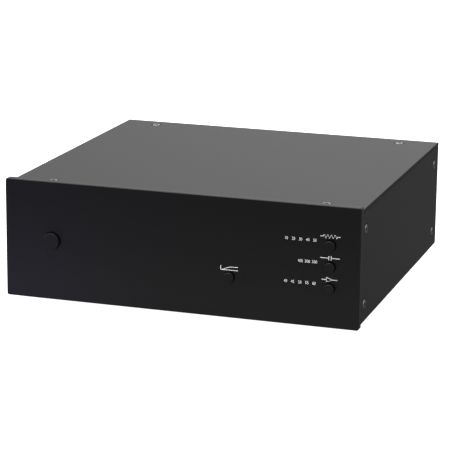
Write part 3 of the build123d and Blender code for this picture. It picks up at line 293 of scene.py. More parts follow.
@dataclass(frozen=True)
class Moulded(Finish):
    """Plastic, rubber, ink, or the near-black painted shade in key sockets, with a fine, even tooth.

    Args:
        coat: weight of a glossy skin.
        clear: how clear the plastic is.
    """

    coat: float = 0.0
    clear: float = 0.0

    def shade(self, tree: Tree, shader: Node) -> None:
        """Gives glossy covers their skin and light guides their clearness."""
        skin_roughness = 0.12
        shader.inputs["Coat Weight"].default_value = self.coat
        shader.inputs["Coat Roughness"].default_value = skin_roughness
        shader.inputs["Transmission Weight"].default_value = self.clear


@dataclass(frozen=True)
class CircuitBoard(Finish):
    """Glass-fibre board under green solder resist: raised tracks in two directions and the glass weave.

    Args:
        block: width of a block of tracks in millimetres.
    """

    block: float = 7.62

    def pattern(self, tree: Tree, place: Socket) -> Socket:
        """Draws tracks as steps round the middle of square cells, over the fine weave."""
        uneven, tracks, foot, top, weave_share = 0.85, 5.0, 0.55, 0.65, 0.25
        grid = {"Vector": place, "Scale": 1 / (self.block * MM), "Randomness": uneven}
        cells = add_node(tree, "TexVoronoi", grid, distance="CHEBYCHEV").outputs["Distance"]
        steps = socket(tree, "Math", {0: cells, 1: tracks}, operation="MULTIPLY")
        rise = socket(tree, "Math", {0: steps, 1: 1.0}, operation="PINGPONG")
        sharp = socket(tree, "MapRange", {"Value": rise, "From Min": foot, "From Max": top})
        weave = noise(tree, place, self.scale, 1.0)
        return socket(tree, "Mix", {0: weave_share, 2: sharp, 3: weave})

    def shade(self, tree: Tree, shader: Node) -> None:
        """Lays the clear, glossy film of solder resist."""
        film, film_roughness = 0.6, 0.15
        shader.inputs["Coat Weight"].default_value = film
        shader.inputs["Coat Roughness"].default_value = film_roughness


@dataclass(frozen=True)
class FlatCable(Finish):
    """Jacket of a flat cable: one rounded rib for each wire."""

    def pattern(self, tree: Tree, place: Socket) -> Socket:
        """Draws ribs across the width of the cable."""
        ribs = {"Vector": place, "Scale": self.scale / 2, "Distortion": 0.0}
        return add_node(tree, "TexWave", ribs, bands_direction="X").outputs[1]


class FinishSet:
    """Every finish of the preamplifier and the nodes that carry it."""

    def __init__(self) -> None:
        """Lists the finishes."""
        black = {"colour": "08080a", "second": "0b0b0d", "ior": 1.62, "relief": 0.004}
        # Bead blasting gives a dead-flat black with a soft sheen; the turned caps took finer beads.
        blasted = {**black, "roughness": 0.36, "spread": 0.03}
        self.panel = BlastedAnodised("bead_blasted_black_anodised", **blasted, grain=0.25)
        self.cap = BlastedAnodised("turned_black_anodised", **{**blasted, "relief": 0.003}, grain=0.2)
        # Rolled plate shows faint lines along its length and matte sawn edges.
        rolled = {**black, "roughness": 0.38, "spread": 0.04, "grain": 0.4, "cut_edge": 0.75}
        self.plate = RolledSheet("black_anodised_plate", **rolled, along=Axis.Y, facing=Axis.X)
        self.cover = RolledSheet("black_anodised_sheet", **rolled, along=Axis.X, facing=Axis.Z)
        # Powder coat is a warmer, slightly lumpy black.
        self.rear = PowderCoat("fine_black_powder_coat", "101011", "171718", 0.45, grain=0.7, relief=0.02)
        # Zinc shows pale crystals and blurred reflections.
        self.zinc = ZincPlate(
            "zinc_plated_sheet", "a9abae", "c6c8cb", 0.34, 0.08, metallic=1.0, grain=2.5, relief=0.003
        )
        # Screws shine like a grey mirror; plated brass keeps its tool lines in warm gold and pale grey.
        screw = {"metallic": 1.0, "grain": 0.12, "relief": 0.004, "axis": Axis.Z}
        self.black_screw = TurnedMetal("black_nickel_screw_steel", "b6b6b8", "c2c2c5", 0.25, 0.06, **screw)
        self.zinc_screw = TurnedMetal("bright_zinc_screw_steel", "a8aaae", "c4c6ca", 0.28, 0.08, **screw)
        brass = {"metallic": 1.0, "grain": 0.12, "relief": 0.003, "axis": Axis.Y}
        self.gold = TurnedMetal("turned_gold_plated_brass", "c9993f", "dcb35c", 0.2, 0.06, **brass)
        self.nickel = TurnedMetal("turned_nickel_plated_brass", "b4b1aa", "c9c6bf", 0.22, 0.06, **brass)
        # Painted shade: the key sockets get a near-black material so that they read as dark holes, and
        # rubber is the dullest black of all.
        self.key_socket_shade = Moulded(
            "painted_shade_in_key_sockets", "0c0c0d", "131314", 0.6, grain=0.2, relief=0.004
        )
        self.rubber = Moulded(
            "black_foot_rubber", "131313", "1b1b1b", 0.72, 0.06, ior=1.52, grain=0.35, relief=0.02
        )
        # Channel rings are glossy plastic, and the socket cores a matte ivory.
        ring = {"ior": 1.52, "grain": 0.3, "relief": 0.004, "coat": 0.3}
        self.white_ring = Moulded("white_moulded_ring", "d9d9d4", "e4e4e0", 0.35, 0.04, **ring)
        self.red_ring = Moulded("red_moulded_ring", "9c1212", "ac1a18", 0.35, 0.04, **ring)
        self.insulator = Moulded(
            "white_socket_insulator", "cdcabf", "d8d5cb", 0.45, 0.04, grain=0.3, relief=0.004
        )
        # Connectors are satin black; smoked acrylic looks black while the milky lights behind it are off.
        self.plastic = Moulded(
            "black_moulded_plastic", "161616", "1f1f1f", 0.48, ior=1.52, grain=0.25, relief=0.008
        )
        smoked = {"ior": 1.49, "grain": 0.4, "relief": 0.001, "clear": 0.2}
        self.guide = Moulded("smoked_acrylic_light_guide", "0a0a0c", "0e0e10", 0.3, 0.03, **smoked)
        lens = {"grain": 0.2, "relief": 0.002, "coat": 0.4}
        self.lamp = Moulded("light_emitter_lens", "d8d6c4", "e6e4d6", 0.25, 0.04, **lens)
        # Boards show green tracks under a clear film; the sleeves, blocks and relays on them are shiny.
        self.board = CircuitBoard("green_circuit_board", "12401f", "1c5a2c", 0.42, grain=0.3, relief=0.02)
        sleeve = {"relief": 0.004, "coat": 0.5}
        self.sleeve = Moulded("shrunk_capacitor_sleeve", "14161f", "1c1f2b", 0.3, 0.04, **sleeve)
        block = {"ior": 1.52, "grain": 0.4, "coat": 0.2}
        self.film = Moulded("red_film_capacitor_case", "8f2018", "9e2a20", 0.38, relief=0.008, **block)
        self.relay = Moulded("cream_relay_cover", "c9c3ab", "d5d0ba", 0.38, relief=0.006, **block)
        # Extruded fins carry die lines along their height, and the flat cable has matte grey ribs.
        fins = {"grain": 0.3, "relief": 0.008, "along": Axis.Z}
        self.sink = RolledSheet("extruded_black_anodised", "141416", "1d1d20", **fins)
        ribs = {"grain": 1.27, "relief": 0.25}
        self.cable = FlatCable("grey_flat_cable_jacket", "6c6e71", "7d7f83", 0.5, 0.04, **ribs)
        # Screen-print ink is an opaque, slightly chalky white.
        print_film = {"grain": 0.15, "relief": 0.002}
        self.ink = Moulded("white_screen_print_ink", "eeeeee", "f6f6f6", 0.55, 0.04, **print_film)

    def carriers(self) -> dict[Finish, tuple[str, ...]]:
        """Gives the CAD nodes of each finish; * at the start stands for every node that ends so."""
        return {
            self.panel: ("front_panel",),
            self.cap: ("*_button",),
            self.cover: ("top_cover", "base_plate"),
            self.plate: ("side_plate_left", "side_plate_right"),
            self.rear: ("rear_panel",),
            self.zinc: ("front_frame",),
            self.black_screw: ("top_screws", "side_screws", "base_screws"),
            self.zinc_screw: ("foot_screws", "front_panel_screws", "board_screws"),
            self.rubber: ("foot_front_left", "foot_front_right", "foot_rear_left", "foot_rear_right"),
            self.gold: ("*_socket", "socket_contacts", "ground_post", "ground_nut"),
            self.nickel: ("socket_nuts", "ground_washer", "dc_inlet_pin", "board_spacers"),
            self.white_ring: ("left_channel_rings",),
            self.red_ring: ("right_channel_rings",),
            self.insulator: ("socket_insulators",),
            self.plastic: (
                "button_switches", "dc_inlet", "trigger_jacks", "amplifier_chips", "ribbon_headers",
                "*_plunger",
            ),
            self.guide: ("*_light_guide", "*_light_bar"),
            self.lamp: ("indicator_leds",),
            self.board: ("control_board", "main_board"),
            self.sleeve: ("filter_capacitors",),
            self.film: ("film_capacitors",),
            self.relay: ("relays",),
            self.sink: ("heat_sink",),
            self.cable: ("ribbon_cable",),
        }

    def material(self, finish: Finish) -> Material:
        """Gives the material of a finish, built the first time that it is asked for."""
        return bpy.data.materials.get(finish.name) or finish.build()

    def dress(self) -> None:
        """Gives every CAD node its finish."""
        left = set(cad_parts)
        for finish, names in self.carriers().items():
            material = self.material(finish)
            for name in sorted(left):
                if any(name == want or (want[0] == "*" and name.endswith(want[1:])) for want in names):
                    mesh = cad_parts[name].data
                    mesh.materials.clear()
                    mesh.materials.append(material)
                    left.discard(name)
                    LOG.info("%s: %s", name, finish.name)
        if left:
            raise ValueError("no finish for " + ", ".join(sorted(left)))


def add_object(name: str, data: bpy.types.ID) -> bpy.types.Object:
    """Puts a new object into the scene."""
    made = bpy.data.objects.new(name, data)
    bpy.context.scene.collection.objects.link(made)
    return made


def keep_piece(
    name: str, mesh: Mesh, finishes: tuple[Material, ...], body: str
) -> bpy.types.Object:
    """Puts a finished mesh into the scene as a piece of the object.

    Args:
        name: name of the piece.
        mesh: its mesh, already in place.
        finishes: its materials, in the order of its faces' numbers.
        body: body that it rides on.

    Returns:
        The piece.
    """
    mesh.name = name
    for finish in finishes:
        mesh.materials.append(finish)
    piece = add_object(name, mesh)
    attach(piece, body)
    LOG.info("%s rides on %s, %d faces", name, body, len(mesh.polygons))
    return piece


def joined_mesh(name: str, parts: list[Mesh]) -> Mesh:
    """Joins placed meshes into one.

    Args:
        name: name of the new mesh.
        parts: the meshes, which are removed.

    Returns:
        The joined mesh.
    """
    whole = bmesh.new()
    for part in parts:
        whole.from_mesh(part)
        bpy.data.meshes.remove(part)
    mesh = bpy.data.meshes.new(name)
    whole.to_mesh(mesh)
    whole.free()
    return mesh


def mesh_of_curve(curve: bpy.types.Curve) -> Mesh:
    """Turns a curve or a text into a mesh and removes the curve's object.

    Args:
        curve: curve data that no object uses yet.

    Returns:
        The mesh of its filled or bevelled shape.
    """
    holder = add_object(curve.name, curve)
    shaped = holder.evaluated_get(bpy.context.evaluated_depsgraph_get())
    mesh = bpy.data.meshes.new_from_object(shaped)
    bpy.data.objects.remove(holder)
    return mesh


def turn(outline: Line, sides: int) -> bmesh.types.BMesh:
    """Spins an outline round Z.

    Args:
        outline: radius and height of its points in millimetres; a radius of 0 closes an end.
        sides: steps of the full turn.

    Returns:
        The turned shell.
    """
    shape = bmesh.new()
    points = [shape.verts.new((radius, 0, height)) for radius, height in outline]
    edges = [shape.edges.new(pair) for pair in zip(points, points[1:])]
    way = {"cent": (0, 0, 0), "axis": (0, 0, 1), "angle": math.tau, "steps": sides, "use_merge": True}
    bmesh.ops.spin(shape, geom=points + edges, **way)
    bmesh.ops.remove_doubles(shape, verts=shape.verts, dist=MERGE_DISTANCE)
    return shape


def smooth_mesh(shape: bmesh.types.BMesh) -> Mesh:
    """Turns a shell outwards and into a mesh that is smooth except along its creases.

    Args:
        shape: the shell, which is freed.

    Returns:
        The mesh.
    """
    bmesh.ops.remove_doubles(shape, verts=shape.verts, dist=MERGE_DISTANCE)
    bmesh.ops.recalc_face_normals(shape, faces=shape.faces)
    mesh = bpy.data.meshes.new("shell")
    shape.to_mesh(mesh)
    shape.free()
    mesh.shade_smooth()
    mesh.set_sharp_from_angle(angle=CREASE)
    return mesh


@dataclass
class Thread:
    """Screw thread, drawn as one groove for each turn.

    Args:
        radius: radius of its crests in millimetres.
        pitch: spacing of its grooves.
        depth: depth of its grooves.
    """

    radius: float
    pitch: float
    depth: float

    def outline(self, top: float, bottom: float) -> Line:
        """Gives its outline.

        Args:
            top: height where it starts in millimetres.
            bottom: height where it ends.

        Returns:
            Radius and height of each point, from the top down.
        """
        floor_start, floor_end, crest_start = 0.4, 0.55, 0.9
        root = self.radius - self.depth
        points = []
        for step in range(int((top - bottom) / self.pitch)):
            start = top - step * self.pitch
            points += [
                (self.radius, start),
                (root, start - floor_start * self.pitch),
                (root, start - floor_end * self.pitch),
                (self.radius, start - crest_start * self.pitch),
            ]
        return points


@dataclass
class SunkScrews:
    """Raised countersunk socket screws of one cover: flat crown, rounded shoulder, key socket and thread.

    Sizes are in millimetres, and heights start at the sheet's face.

    Args:
        node: CAD node that the screws stand for.
        axis: direction that they are driven along.
        outward: sides of the case that carry them, 1 where they face along the axis and -1 where against it.
        head_radius: radius of the CAD head, which gives the screws' places.
        crown_radius, crown_rise: edge of the flat crown.
        land_radius, land_rise: foot of the rounded shoulder.
        head_drop, cone_depth: depth where the cone starts, and its own depth.
        key_width, key_depth, key_chamfer: key socket across its flats.
        stop_turn: how much further than the last one each screw stops, in radians.
    """

    node: str
    axis: Axis
    outward: tuple[int, ...]
    head_radius: float = 2.75
    crown_radius: float = 2.1
    crown_rise: float = 0.3
    land_radius: float = 2.5
    land_rise: float = -0.05
    head_drop: float = 0.4
    cone_depth: float = 1.3
    length: float = 6.0
    tip_chamfer: float = 0.35
    key_width: float = 2.0
    key_depth: float = 1.3
    key_chamfer: float = 0.14
    sides: int = 48
    shoulder_steps: int = 6
    stop_turn: float = 0.7
    thread: Thread = field(default_factory=lambda: Thread(radius=1.45, pitch=0.5, depth=0.26))

    def outline(self) -> Line:
        """Gives the outline from the edge of the crown down to the tip."""
        wide, high = self.land_radius - self.crown_radius, self.crown_rise - self.land_rise
        angles = [math.pi / 2 / self.shoulder_steps * step for step in range(self.shoulder_steps + 1)]
        shoulder = [
            (self.crown_radius + wide * math.sin(angle), high * math.cos(angle) + self.land_rise)
            for angle in angles
        ]
        tip = self.tip_chamfer - self.length
        return [
            *shoulder,
            (self.land_radius, -self.head_drop),
            *self.thread.outline(-self.head_drop - self.cone_depth, tip),
            (self.thread.radius, tip),
            (self.thread.radius - self.tip_chamfer, -self.length),
            (0, -self.length),
        ]

    def screw(self) -> Mesh:
        """Makes one screw in millimetres, with its axis on Z and the sheet's face at zero."""
        shape = turn(self.outline(), self.sides)
        rim = [edge for edge in shape.edges if edge.is_boundary]
        mouth = (self.key_width / 2 + self.key_chamfer) / math.cos(math.pi / HEXAGON)
        lifted = Matrix.Translation((0, 0, self.crown_rise))
        corners = bmesh.ops.create_circle(shape, segments=HEXAGON, radius=mouth, matrix=lifted)["verts"]
        flats = list({edge for corner in corners for edge in corner.link_edges})
        bmesh.ops.subdivide_edges(shape, edges=flats, cuts=self.sides // HEXAGON - 1)
        key = [edge for edge in shape.edges if edge.is_wire]
        bmesh.ops.bridge_loops(shape, edges=rim + key)
        outside = set(shape.faces)
        point_depth, point_width = 0.3, 0.02
        for drop, scale in (
            (self.key_chamfer, self.key_width / (self.key_width + 2 * self.key_chamfer)),
            (self.key_depth - self.key_chamfer, 1.0),
            (point_depth * self.key_width, point_width),
        ):
            grown = bmesh.ops.extrude_edge_only(shape, edges=key)["geom"]
            verts = [part for part in grown if isinstance(part, bmesh.types.BMVert)]
            key = [part for part in grown if isinstance(part, bmesh.types.BMEdge) and part.is_boundary]
            bmesh.ops.scale(shape, verts=verts, vec=(scale, scale, 1))
            bmesh.ops.translate(shape, verts=verts, vec=(0, 0, -drop))
        bmesh.ops.edgeloop_fill(shape, edges=key)
        # Painted shade: the socket's walls, floor and point take the near-black second material, so the
        # hollow reads dark.
        for face in set(shape.faces) - outside:
            face.material_index = 1
        return smooth_mesh(shape)

    def places(self) -> list[Matrix]:
        """Gives the place of every screw, read from the box of the CAD screws.

        Returns:
            One matrix for each screw, from millimetres to its place in metres.
        """
        low, high = (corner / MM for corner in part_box(self.node))
        along = self.axis.value
        across = [side for side in range(3) if side != along]
        found = []
        for way, ends in product(self.outward, product((False, True), repeat=2)):
            facing = Vector([way * (side == along) for side in range(3)])
            spot = Vector((0, 0, 0))
            spot[along] = (high if way > 0 else low)[along] - way * self.crown_rise
            for side, far in zip(across, ends):
                spot[side] = high[side] - self.head_radius if far else low[side] + self.head_radius
            turned = facing.to_track_quat("Z", "Y").to_matrix().to_4x4()
            stop = Matrix.Rotation(self.stop_turn * len(found), 4, "Z")
            found.append(Matrix.Scale(MM, 4) @ Matrix.Translation(spot) @ turned @ stop)
        return found

    def build(self, steel: Material, socket_shade: Material) -> None:
        """Drives every screw home.

        Args:
            steel: material of the screws.
            socket_shade: near-black material inside their key sockets, painted shade for the hollow.
        """
        screw = self.screw()
        copies = []
        for place in self.places():
            copies.append(screw.copy())
            copies[-1].transform(place)
        bpy.data.meshes.remove(screw)
        mesh = joined_mesh(self.node, copies)
        piece = keep_piece(self.node + "_detailed", mesh, (steel, socket_shade), "case")
        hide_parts(self.node)


@dataclass
class GroundPost:
    """Ground post: hexagon head inside the rear panel and a threaded stud with a rounded tip."""

    head_width: float = 7.0
    head_thickness: float = 2.4
    head_chamfer: float = 0.3
    plain_length: float = 3.0
    tip_round: float = 0.5
    tip_steps: int = 4
    sides: int = 48
    thread: Thread = field(default_factory=lambda: Thread(radius=1.95, pitch=0.7, depth=0.36))

    def build(self, gold: Material) -> None:
        """Makes the post where the CAD post is.

        Args:
            gold: material of the post.
        """
        low, high = (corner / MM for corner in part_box("ground_post"))
        length = high.y - low.y
        radius = self.thread.radius
        tip = length - self.tip_round
        angles = [math.pi / 2 * step / self.tip_steps for step in range(self.tip_steps, -1, -1)]
        rounded = [
            (radius - self.tip_round * (1 - math.cos(angle)), tip + self.tip_round * math.sin(angle))
            for angle in angles
        ]
        plain = self.head_thickness + self.plain_length
        foot = [(radius, plain), (radius, 0), (0, 0)]
        stud = turn([(0, length), *rounded, *self.thread.outline(tip, plain), *foot], self.sides)
        wide = self.head_width / 2 / math.cos(math.pi / HEXAGON)
        top = [(0, self.head_thickness), (wide, self.head_thickness)]
        bottom = [(wide, self.head_chamfer), (wide - self.head_chamfer, 0), (0, 0)]
        head = turn([*top, *bottom], HEXAGON)
        mesh = joined_mesh("post", [smooth_mesh(stud), smooth_mesh(head)])
        spot = Matrix.Translation(((low.x + high.x) / 2, low.y, (low.z + high.z) / 2))
        mesh.transform(Matrix.Scale(MM, 4) @ spot @ Matrix.Rotation(math.radians(-90), 4, "X"))
        piece = keep_piece("ground_post_threaded", mesh, (gold,), "case")
        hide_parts("ground_post")


@dataclass
class ScreenPrint:
    """Thin film of white ink on a flat panel.

    Args:
        node: CAD node that carries the print.
        behind: true where the print is on the panel's back.
        stroke, film: width of a line and thickness of the ink in millimetres.
    """

    node: str
    behind: bool = False
    stroke: float = 0.36
    film: float = 0.02

    def middle(self, node: str) -> tuple[float, float]:
        """Gives the middle of a CAD node.

        Args:
            node: name of the node.

        Returns:
            Its place across the object and its height in millimetres.
        """
        low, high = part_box(node)
        return (low.x + high.x) / 2 / MM, (low.z + high.z) / 2 / MM

    def face(self, x: float, z: float) -> Matrix:
        """Gives the place of a flat shape on the panel, turned to face outwards.

        Args:
            x: place across the panel in millimetres.
            z: height in millimetres.

        Returns:
            The placing matrix.
        """
        low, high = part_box(self.node)
        rise = self.film * MM / 2
        place = Matrix.Translation((x * MM, high.y + rise if self.behind else low.y - rise, z * MM))
        about = Matrix.Rotation(math.pi if self.behind else 0.0, 4, "Z")
        return place @ about @ Matrix.Rotation(math.radians(90), 4, "X")

    def line(self, points: Line, x: float, z: float) -> Mesh:
        """Draws one printed line.

        Args:
            points: its corners in millimetres about its own middle.
            x: its middle across the panel.
            z: its middle height.

        Returns:
            The placed mesh.
        """
        curve = bpy.data.curves.new("line", "CURVE")
        curve.dimensions = "3D"
        curve.bevel_depth = self.stroke / 2 * MM
        curve.bevel_resolution = 1
        curve.use_fill_caps = True
        spline = curve.splines.new("POLY")
        spline.points.add(len(points) - 1)
        for point, (across, up) in zip(spline.points, points):
            point.co = (across * MM, up * MM, 0, 1)
        mesh = mesh_of_curve(curve)
        mesh.transform(Matrix.Diagonal((1, 1, self.film / self.stroke, 1)))
        mesh.transform(self.face(x, z))
        return mesh

    def keep(self, meshes: list[Mesh], name: str, ink: Material) -> None:
        """Joins a print into one piece."""
        keep_piece(name, joined_mesh(name, meshes), (ink,), "case")


@dataclass
class FrontPrint(ScreenPrint):
    """Print on the front panel: plain numbers over the lights and a sign over each small button.

    Args:
        digit_squeeze, digit_thinning: width against the plain font, and how far the outline is drawn in.
        light_end: first and last light inside the ends of their light bar.
    """

    node: str = "front_panel"
    number_height: float = 1.65
    digit_squeeze: float = 0.82
    digit_thinning: float = 0.006
    number_rise: float = 1.5
    sign_rise: float = 5.1
    light_end: float = 1.6
    numbers: dict[str, tuple[str, ...]] = field(
        default_factory=lambda: {
            "resistance": ("10", "20", "30", "40", "50"),
            "capacitance": ("100", "200", "300"),
            "gain": ("40", "45", "50", "55", "60"),
        }
    )

    def text(self, words: str, x: float, z: float) -> Mesh:
        """Makes one number, centred on a light.

        Args:
            words: the digits.
            x: its middle in millimetres.
            z: its foot in millimetres.

        Returns:
            The placed mesh.
        """
        curve = bpy.data.curves.new("number", "FONT")
        curve.body = words
        curve.align_x = "CENTER"
        curve.size = 1.0
        curve.offset = -self.digit_thinning
        curve.resolution_u = 3
        mesh = mesh_of_curve(curve)
        heights = [vertex.co.y for vertex in mesh.vertices]
        scale = self.number_height * MM / (max(heights) - min(heights))
        mesh.transform(Matrix.Diagonal((self.digit_squeeze * scale, scale, scale, 1)))
        mesh.transform(self.face(x, z))
        return mesh

    def resistor(self) -> list[Line]:
        """Gives the zigzag of a resistor between its two leads.

        Returns:
            Its lines, in millimetres about its middle, as for every sign here.
        """
        lead, teeth, height = 5.5, 8, 1.05
        end = teeth / 2
        zigzag = [(step + 0.5 - end, height * (-1) ** step) for step in range(teeth)]
        return [[(-lead, 0), (-end, 0), *zigzag, (end, 0), (lead, 0)]]

    def capacitor(self) -> list[Line]:
        """Gives the two plates of a capacitor and their leads."""
        lead, plate, height = 5.4, 0.65, 1.2
        left, right = [(-plate, -height), (-plate, height)], [(plate, -height), (plate, height)]
        return [[(-lead, 0), (-plate, 0)], left, right, [(plate, 0), (lead, 0)]]

    def amplifier(self) -> list[Line]:
        """Gives the triangle of an amplifier with its input and output."""
        lead, half, height = 4.4, 1.8, 1.25
        triangle = [(-half, height), (-half, -height), (half, 0), (-half, height)]
        return [[(-lead, 0), (-half, 0)], triangle, [(half, 0), (lead, 0)]]

    def low_cut(self) -> list[Line]:
        """Gives the level of a filter that takes away the lowest notes, over two axes."""
        foot, top, left, start, right = -1.1, 1.2, -4.9, -4.6, 5.0
        full, drop, knee, steps = 0.75, 1.8, 9, 14
        shares = [step / steps for step in range(steps + 1)]
        level = [(start + (right - start) * t, full - drop * math.exp(-knee * t * t)) for t in shares]
        return [level, [(left, top), (left, foot)], [(left, foot), (right, foot)]]

    def lights(self, name: str, count: int) -> list[float]:
        """Gives the places of a row's lights, from the ends of its light bar.

        Args:
            name: name of the control.
            count: lights in its row.

        Returns:
            Their x in millimetres.
        """
        low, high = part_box(name + "_light_bar")
        first, last = low.x / MM + self.light_end, high.x / MM - self.light_end
        return [first + (last - first) * step / (count - 1) for step in range(count)]

    def build(self, ink: Material) -> None:
        """Prints every number and sign.

        Args:
            ink: material of the print.
        """
        digits = []
        for name, row in self.numbers.items():
            foot = self.middle(name + "_button")[1] + self.number_rise
            digits += [self.text(words, x, foot) for words, x in zip(row, self.lights(name, len(row)))]
        self.keep(digits, "panel_numbers", ink)
        signs = []
        for name, sign in {
            "resistance": self.resistor(),
            "capacitance": self.capacitor(),
            "gain": self.amplifier(),
            "subsonic": self.low_cut(),
        }.items():
            x, z = self.middle(name + "_button")
            signs += [self.line(points, x, z + self.sign_rise) for points in sign]
        self.keep(signs, "panel_signs", ink)


@dataclass
class RearPrint(ScreenPrint):
    """Print on the rear panel: arrows at sockets and jacks, an earth sign and the polarity of the supply."""

    node: str = "rear_panel"
    behind: bool = True
    arrow_rise: float = 10.5
    earth_rise: float = 9.0
    supply_rise: float = 8.6
    jack_half: float = 5.0

    def arrow(self, inwards: bool) -> list[Line]:
        """Gives an arrow and a bar.

        Args:
            inwards: true for an arrow towards the bar, false for one away from it.

        Returns:
            Its lines.
        """
        length, bar_half, barb, barb_half = 4.8, 1.5, 1.3, 1.1
        bar, tail = (2.6, -3.4) if inwards else (-3.4, -2.2)
        tip = tail + length
        head = [(tip - barb, barb_half), (tip, 0), (tip - barb, -barb_half)]
        return [[(bar, bar_half), (bar, -bar_half)], [(tail, 0), (tip, 0)], head]

    def earth(self) -> list[Line]:
        """Gives the sign of a ground terminal: a lead over three bars that grow shorter."""
        lead, pitch, halves = 1.6, 0.7, (1.5, 0.95, 0.4)
        bars = [[(-half, -pitch * step), (half, -pitch * step)] for step, half in enumerate(halves)]
        return [[(0, lead), (0, 0)], *bars]

    def polarity(self) -> list[Line]:
        """Gives the sign of a supply plug whose centre is the positive side."""
        ring, dot, start, step_turn = 1.4, 0.3, 0.7, 0.4856
        lead_end, mark_start, mark_end, cross, cross_half = 2.6, 3.2, 4.4, 3.8, 0.6
        angles = [start + step_turn * step for step in range(11)]
        dot_angles = [math.pi / 4 * step for step in range(9)]
        return [
            [(ring * math.cos(angle), ring * math.sin(angle)) for angle in angles],
            [(dot * math.cos(angle), dot * math.sin(angle)) for angle in dot_angles],
            [(-mark_end, 0), (-mark_start, 0)],
            [(mark_start, 0), (mark_end, 0)],
            [(cross, cross_half), (cross, -cross_half)],
            [(-lead_end, 0), (-ring, 0)],
            [(0, 0), (lead_end, 0)],
        ]

    def build(self, ink: Material) -> None:
        """Prints every sign.

        Args:
            ink: material of the print.
        """
        low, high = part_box("trigger_jacks")
        jack_x, jack_z = self.middle("trigger_jacks")
        apart = (high.x - low.x) / 2 / MM - self.jack_half
        spots = [
            (self.middle("input_left_socket"), self.arrow_rise, self.arrow(True)),
            (self.middle("output_left_socket"), self.arrow_rise, self.arrow(False)),
            (self.middle("ground_post"), self.earth_rise, self.earth()),
            (self.middle("dc_inlet"), self.supply_rise, self.polarity()),
            ((jack_x - apart, jack_z), self.supply_rise, self.arrow(True)),
            ((jack_x + apart, jack_z), self.supply_rise, self.arrow(False)),
        ]
        signs = [self.line(points, x, z + rise) for (x, z), rise, sign in spots for points in sign]
        self.keep(signs, "rear_signs", ink)


@dataclass(frozen=True)
class Glow:
    """One soft patch of the studio, as seen by the surfaces of the object.

    Args:
        name: what stands there.
        towards: direction of its middle.
        inner, outer: angles from its middle in degrees where it starts to fade and has faded out.
        level: brightness of its middle.
        colour: sRGB hex of its light.
        flat: how many times lower than wide it is.
    """

    name: str
    towards: tuple[float, float, float]
    inner: float
    outer: float
    level: float
    colour: str = "ffffff"
    flat: float = 1.0

    def add(self, tree: Tree, direction: Socket) -> Socket:
        """Draws the patch.

        Args:
            tree: node tree of the world.
            direction: direction that is looked up.

        Returns:
            Its colour times its brightness there.
        """
        x, y, z = self.towards
        aim = Vector((x, y, z * self.flat)).normalized()
        drawn = socket(tree, "VectorMath", {0: direction, 1: (1.0, 1.0, self.flat)}, operation="MULTIPLY")
        looked = socket(tree, "VectorMath", {0: drawn}, operation="NORMALIZE")
        near = add_node(tree, "VectorMath", {0: looked, 1: aim}, operation="DOT_PRODUCT").outputs["Value"]
        fade = {
            "Value": near,
            "From Min": math.cos(math.radians(self.outer)),
            "From Max": math.cos(math.radians(self.inner)),
            "To Max": self.level,
        }
        level = socket(tree, "MapRange", fade, interpolation_type="SMOOTHSTEP")
        tint = Vector(linear(self.colour)[:3])
        return socket(tree, "VectorMath", {0: tint, "Scale": level}, operation="SCALE")


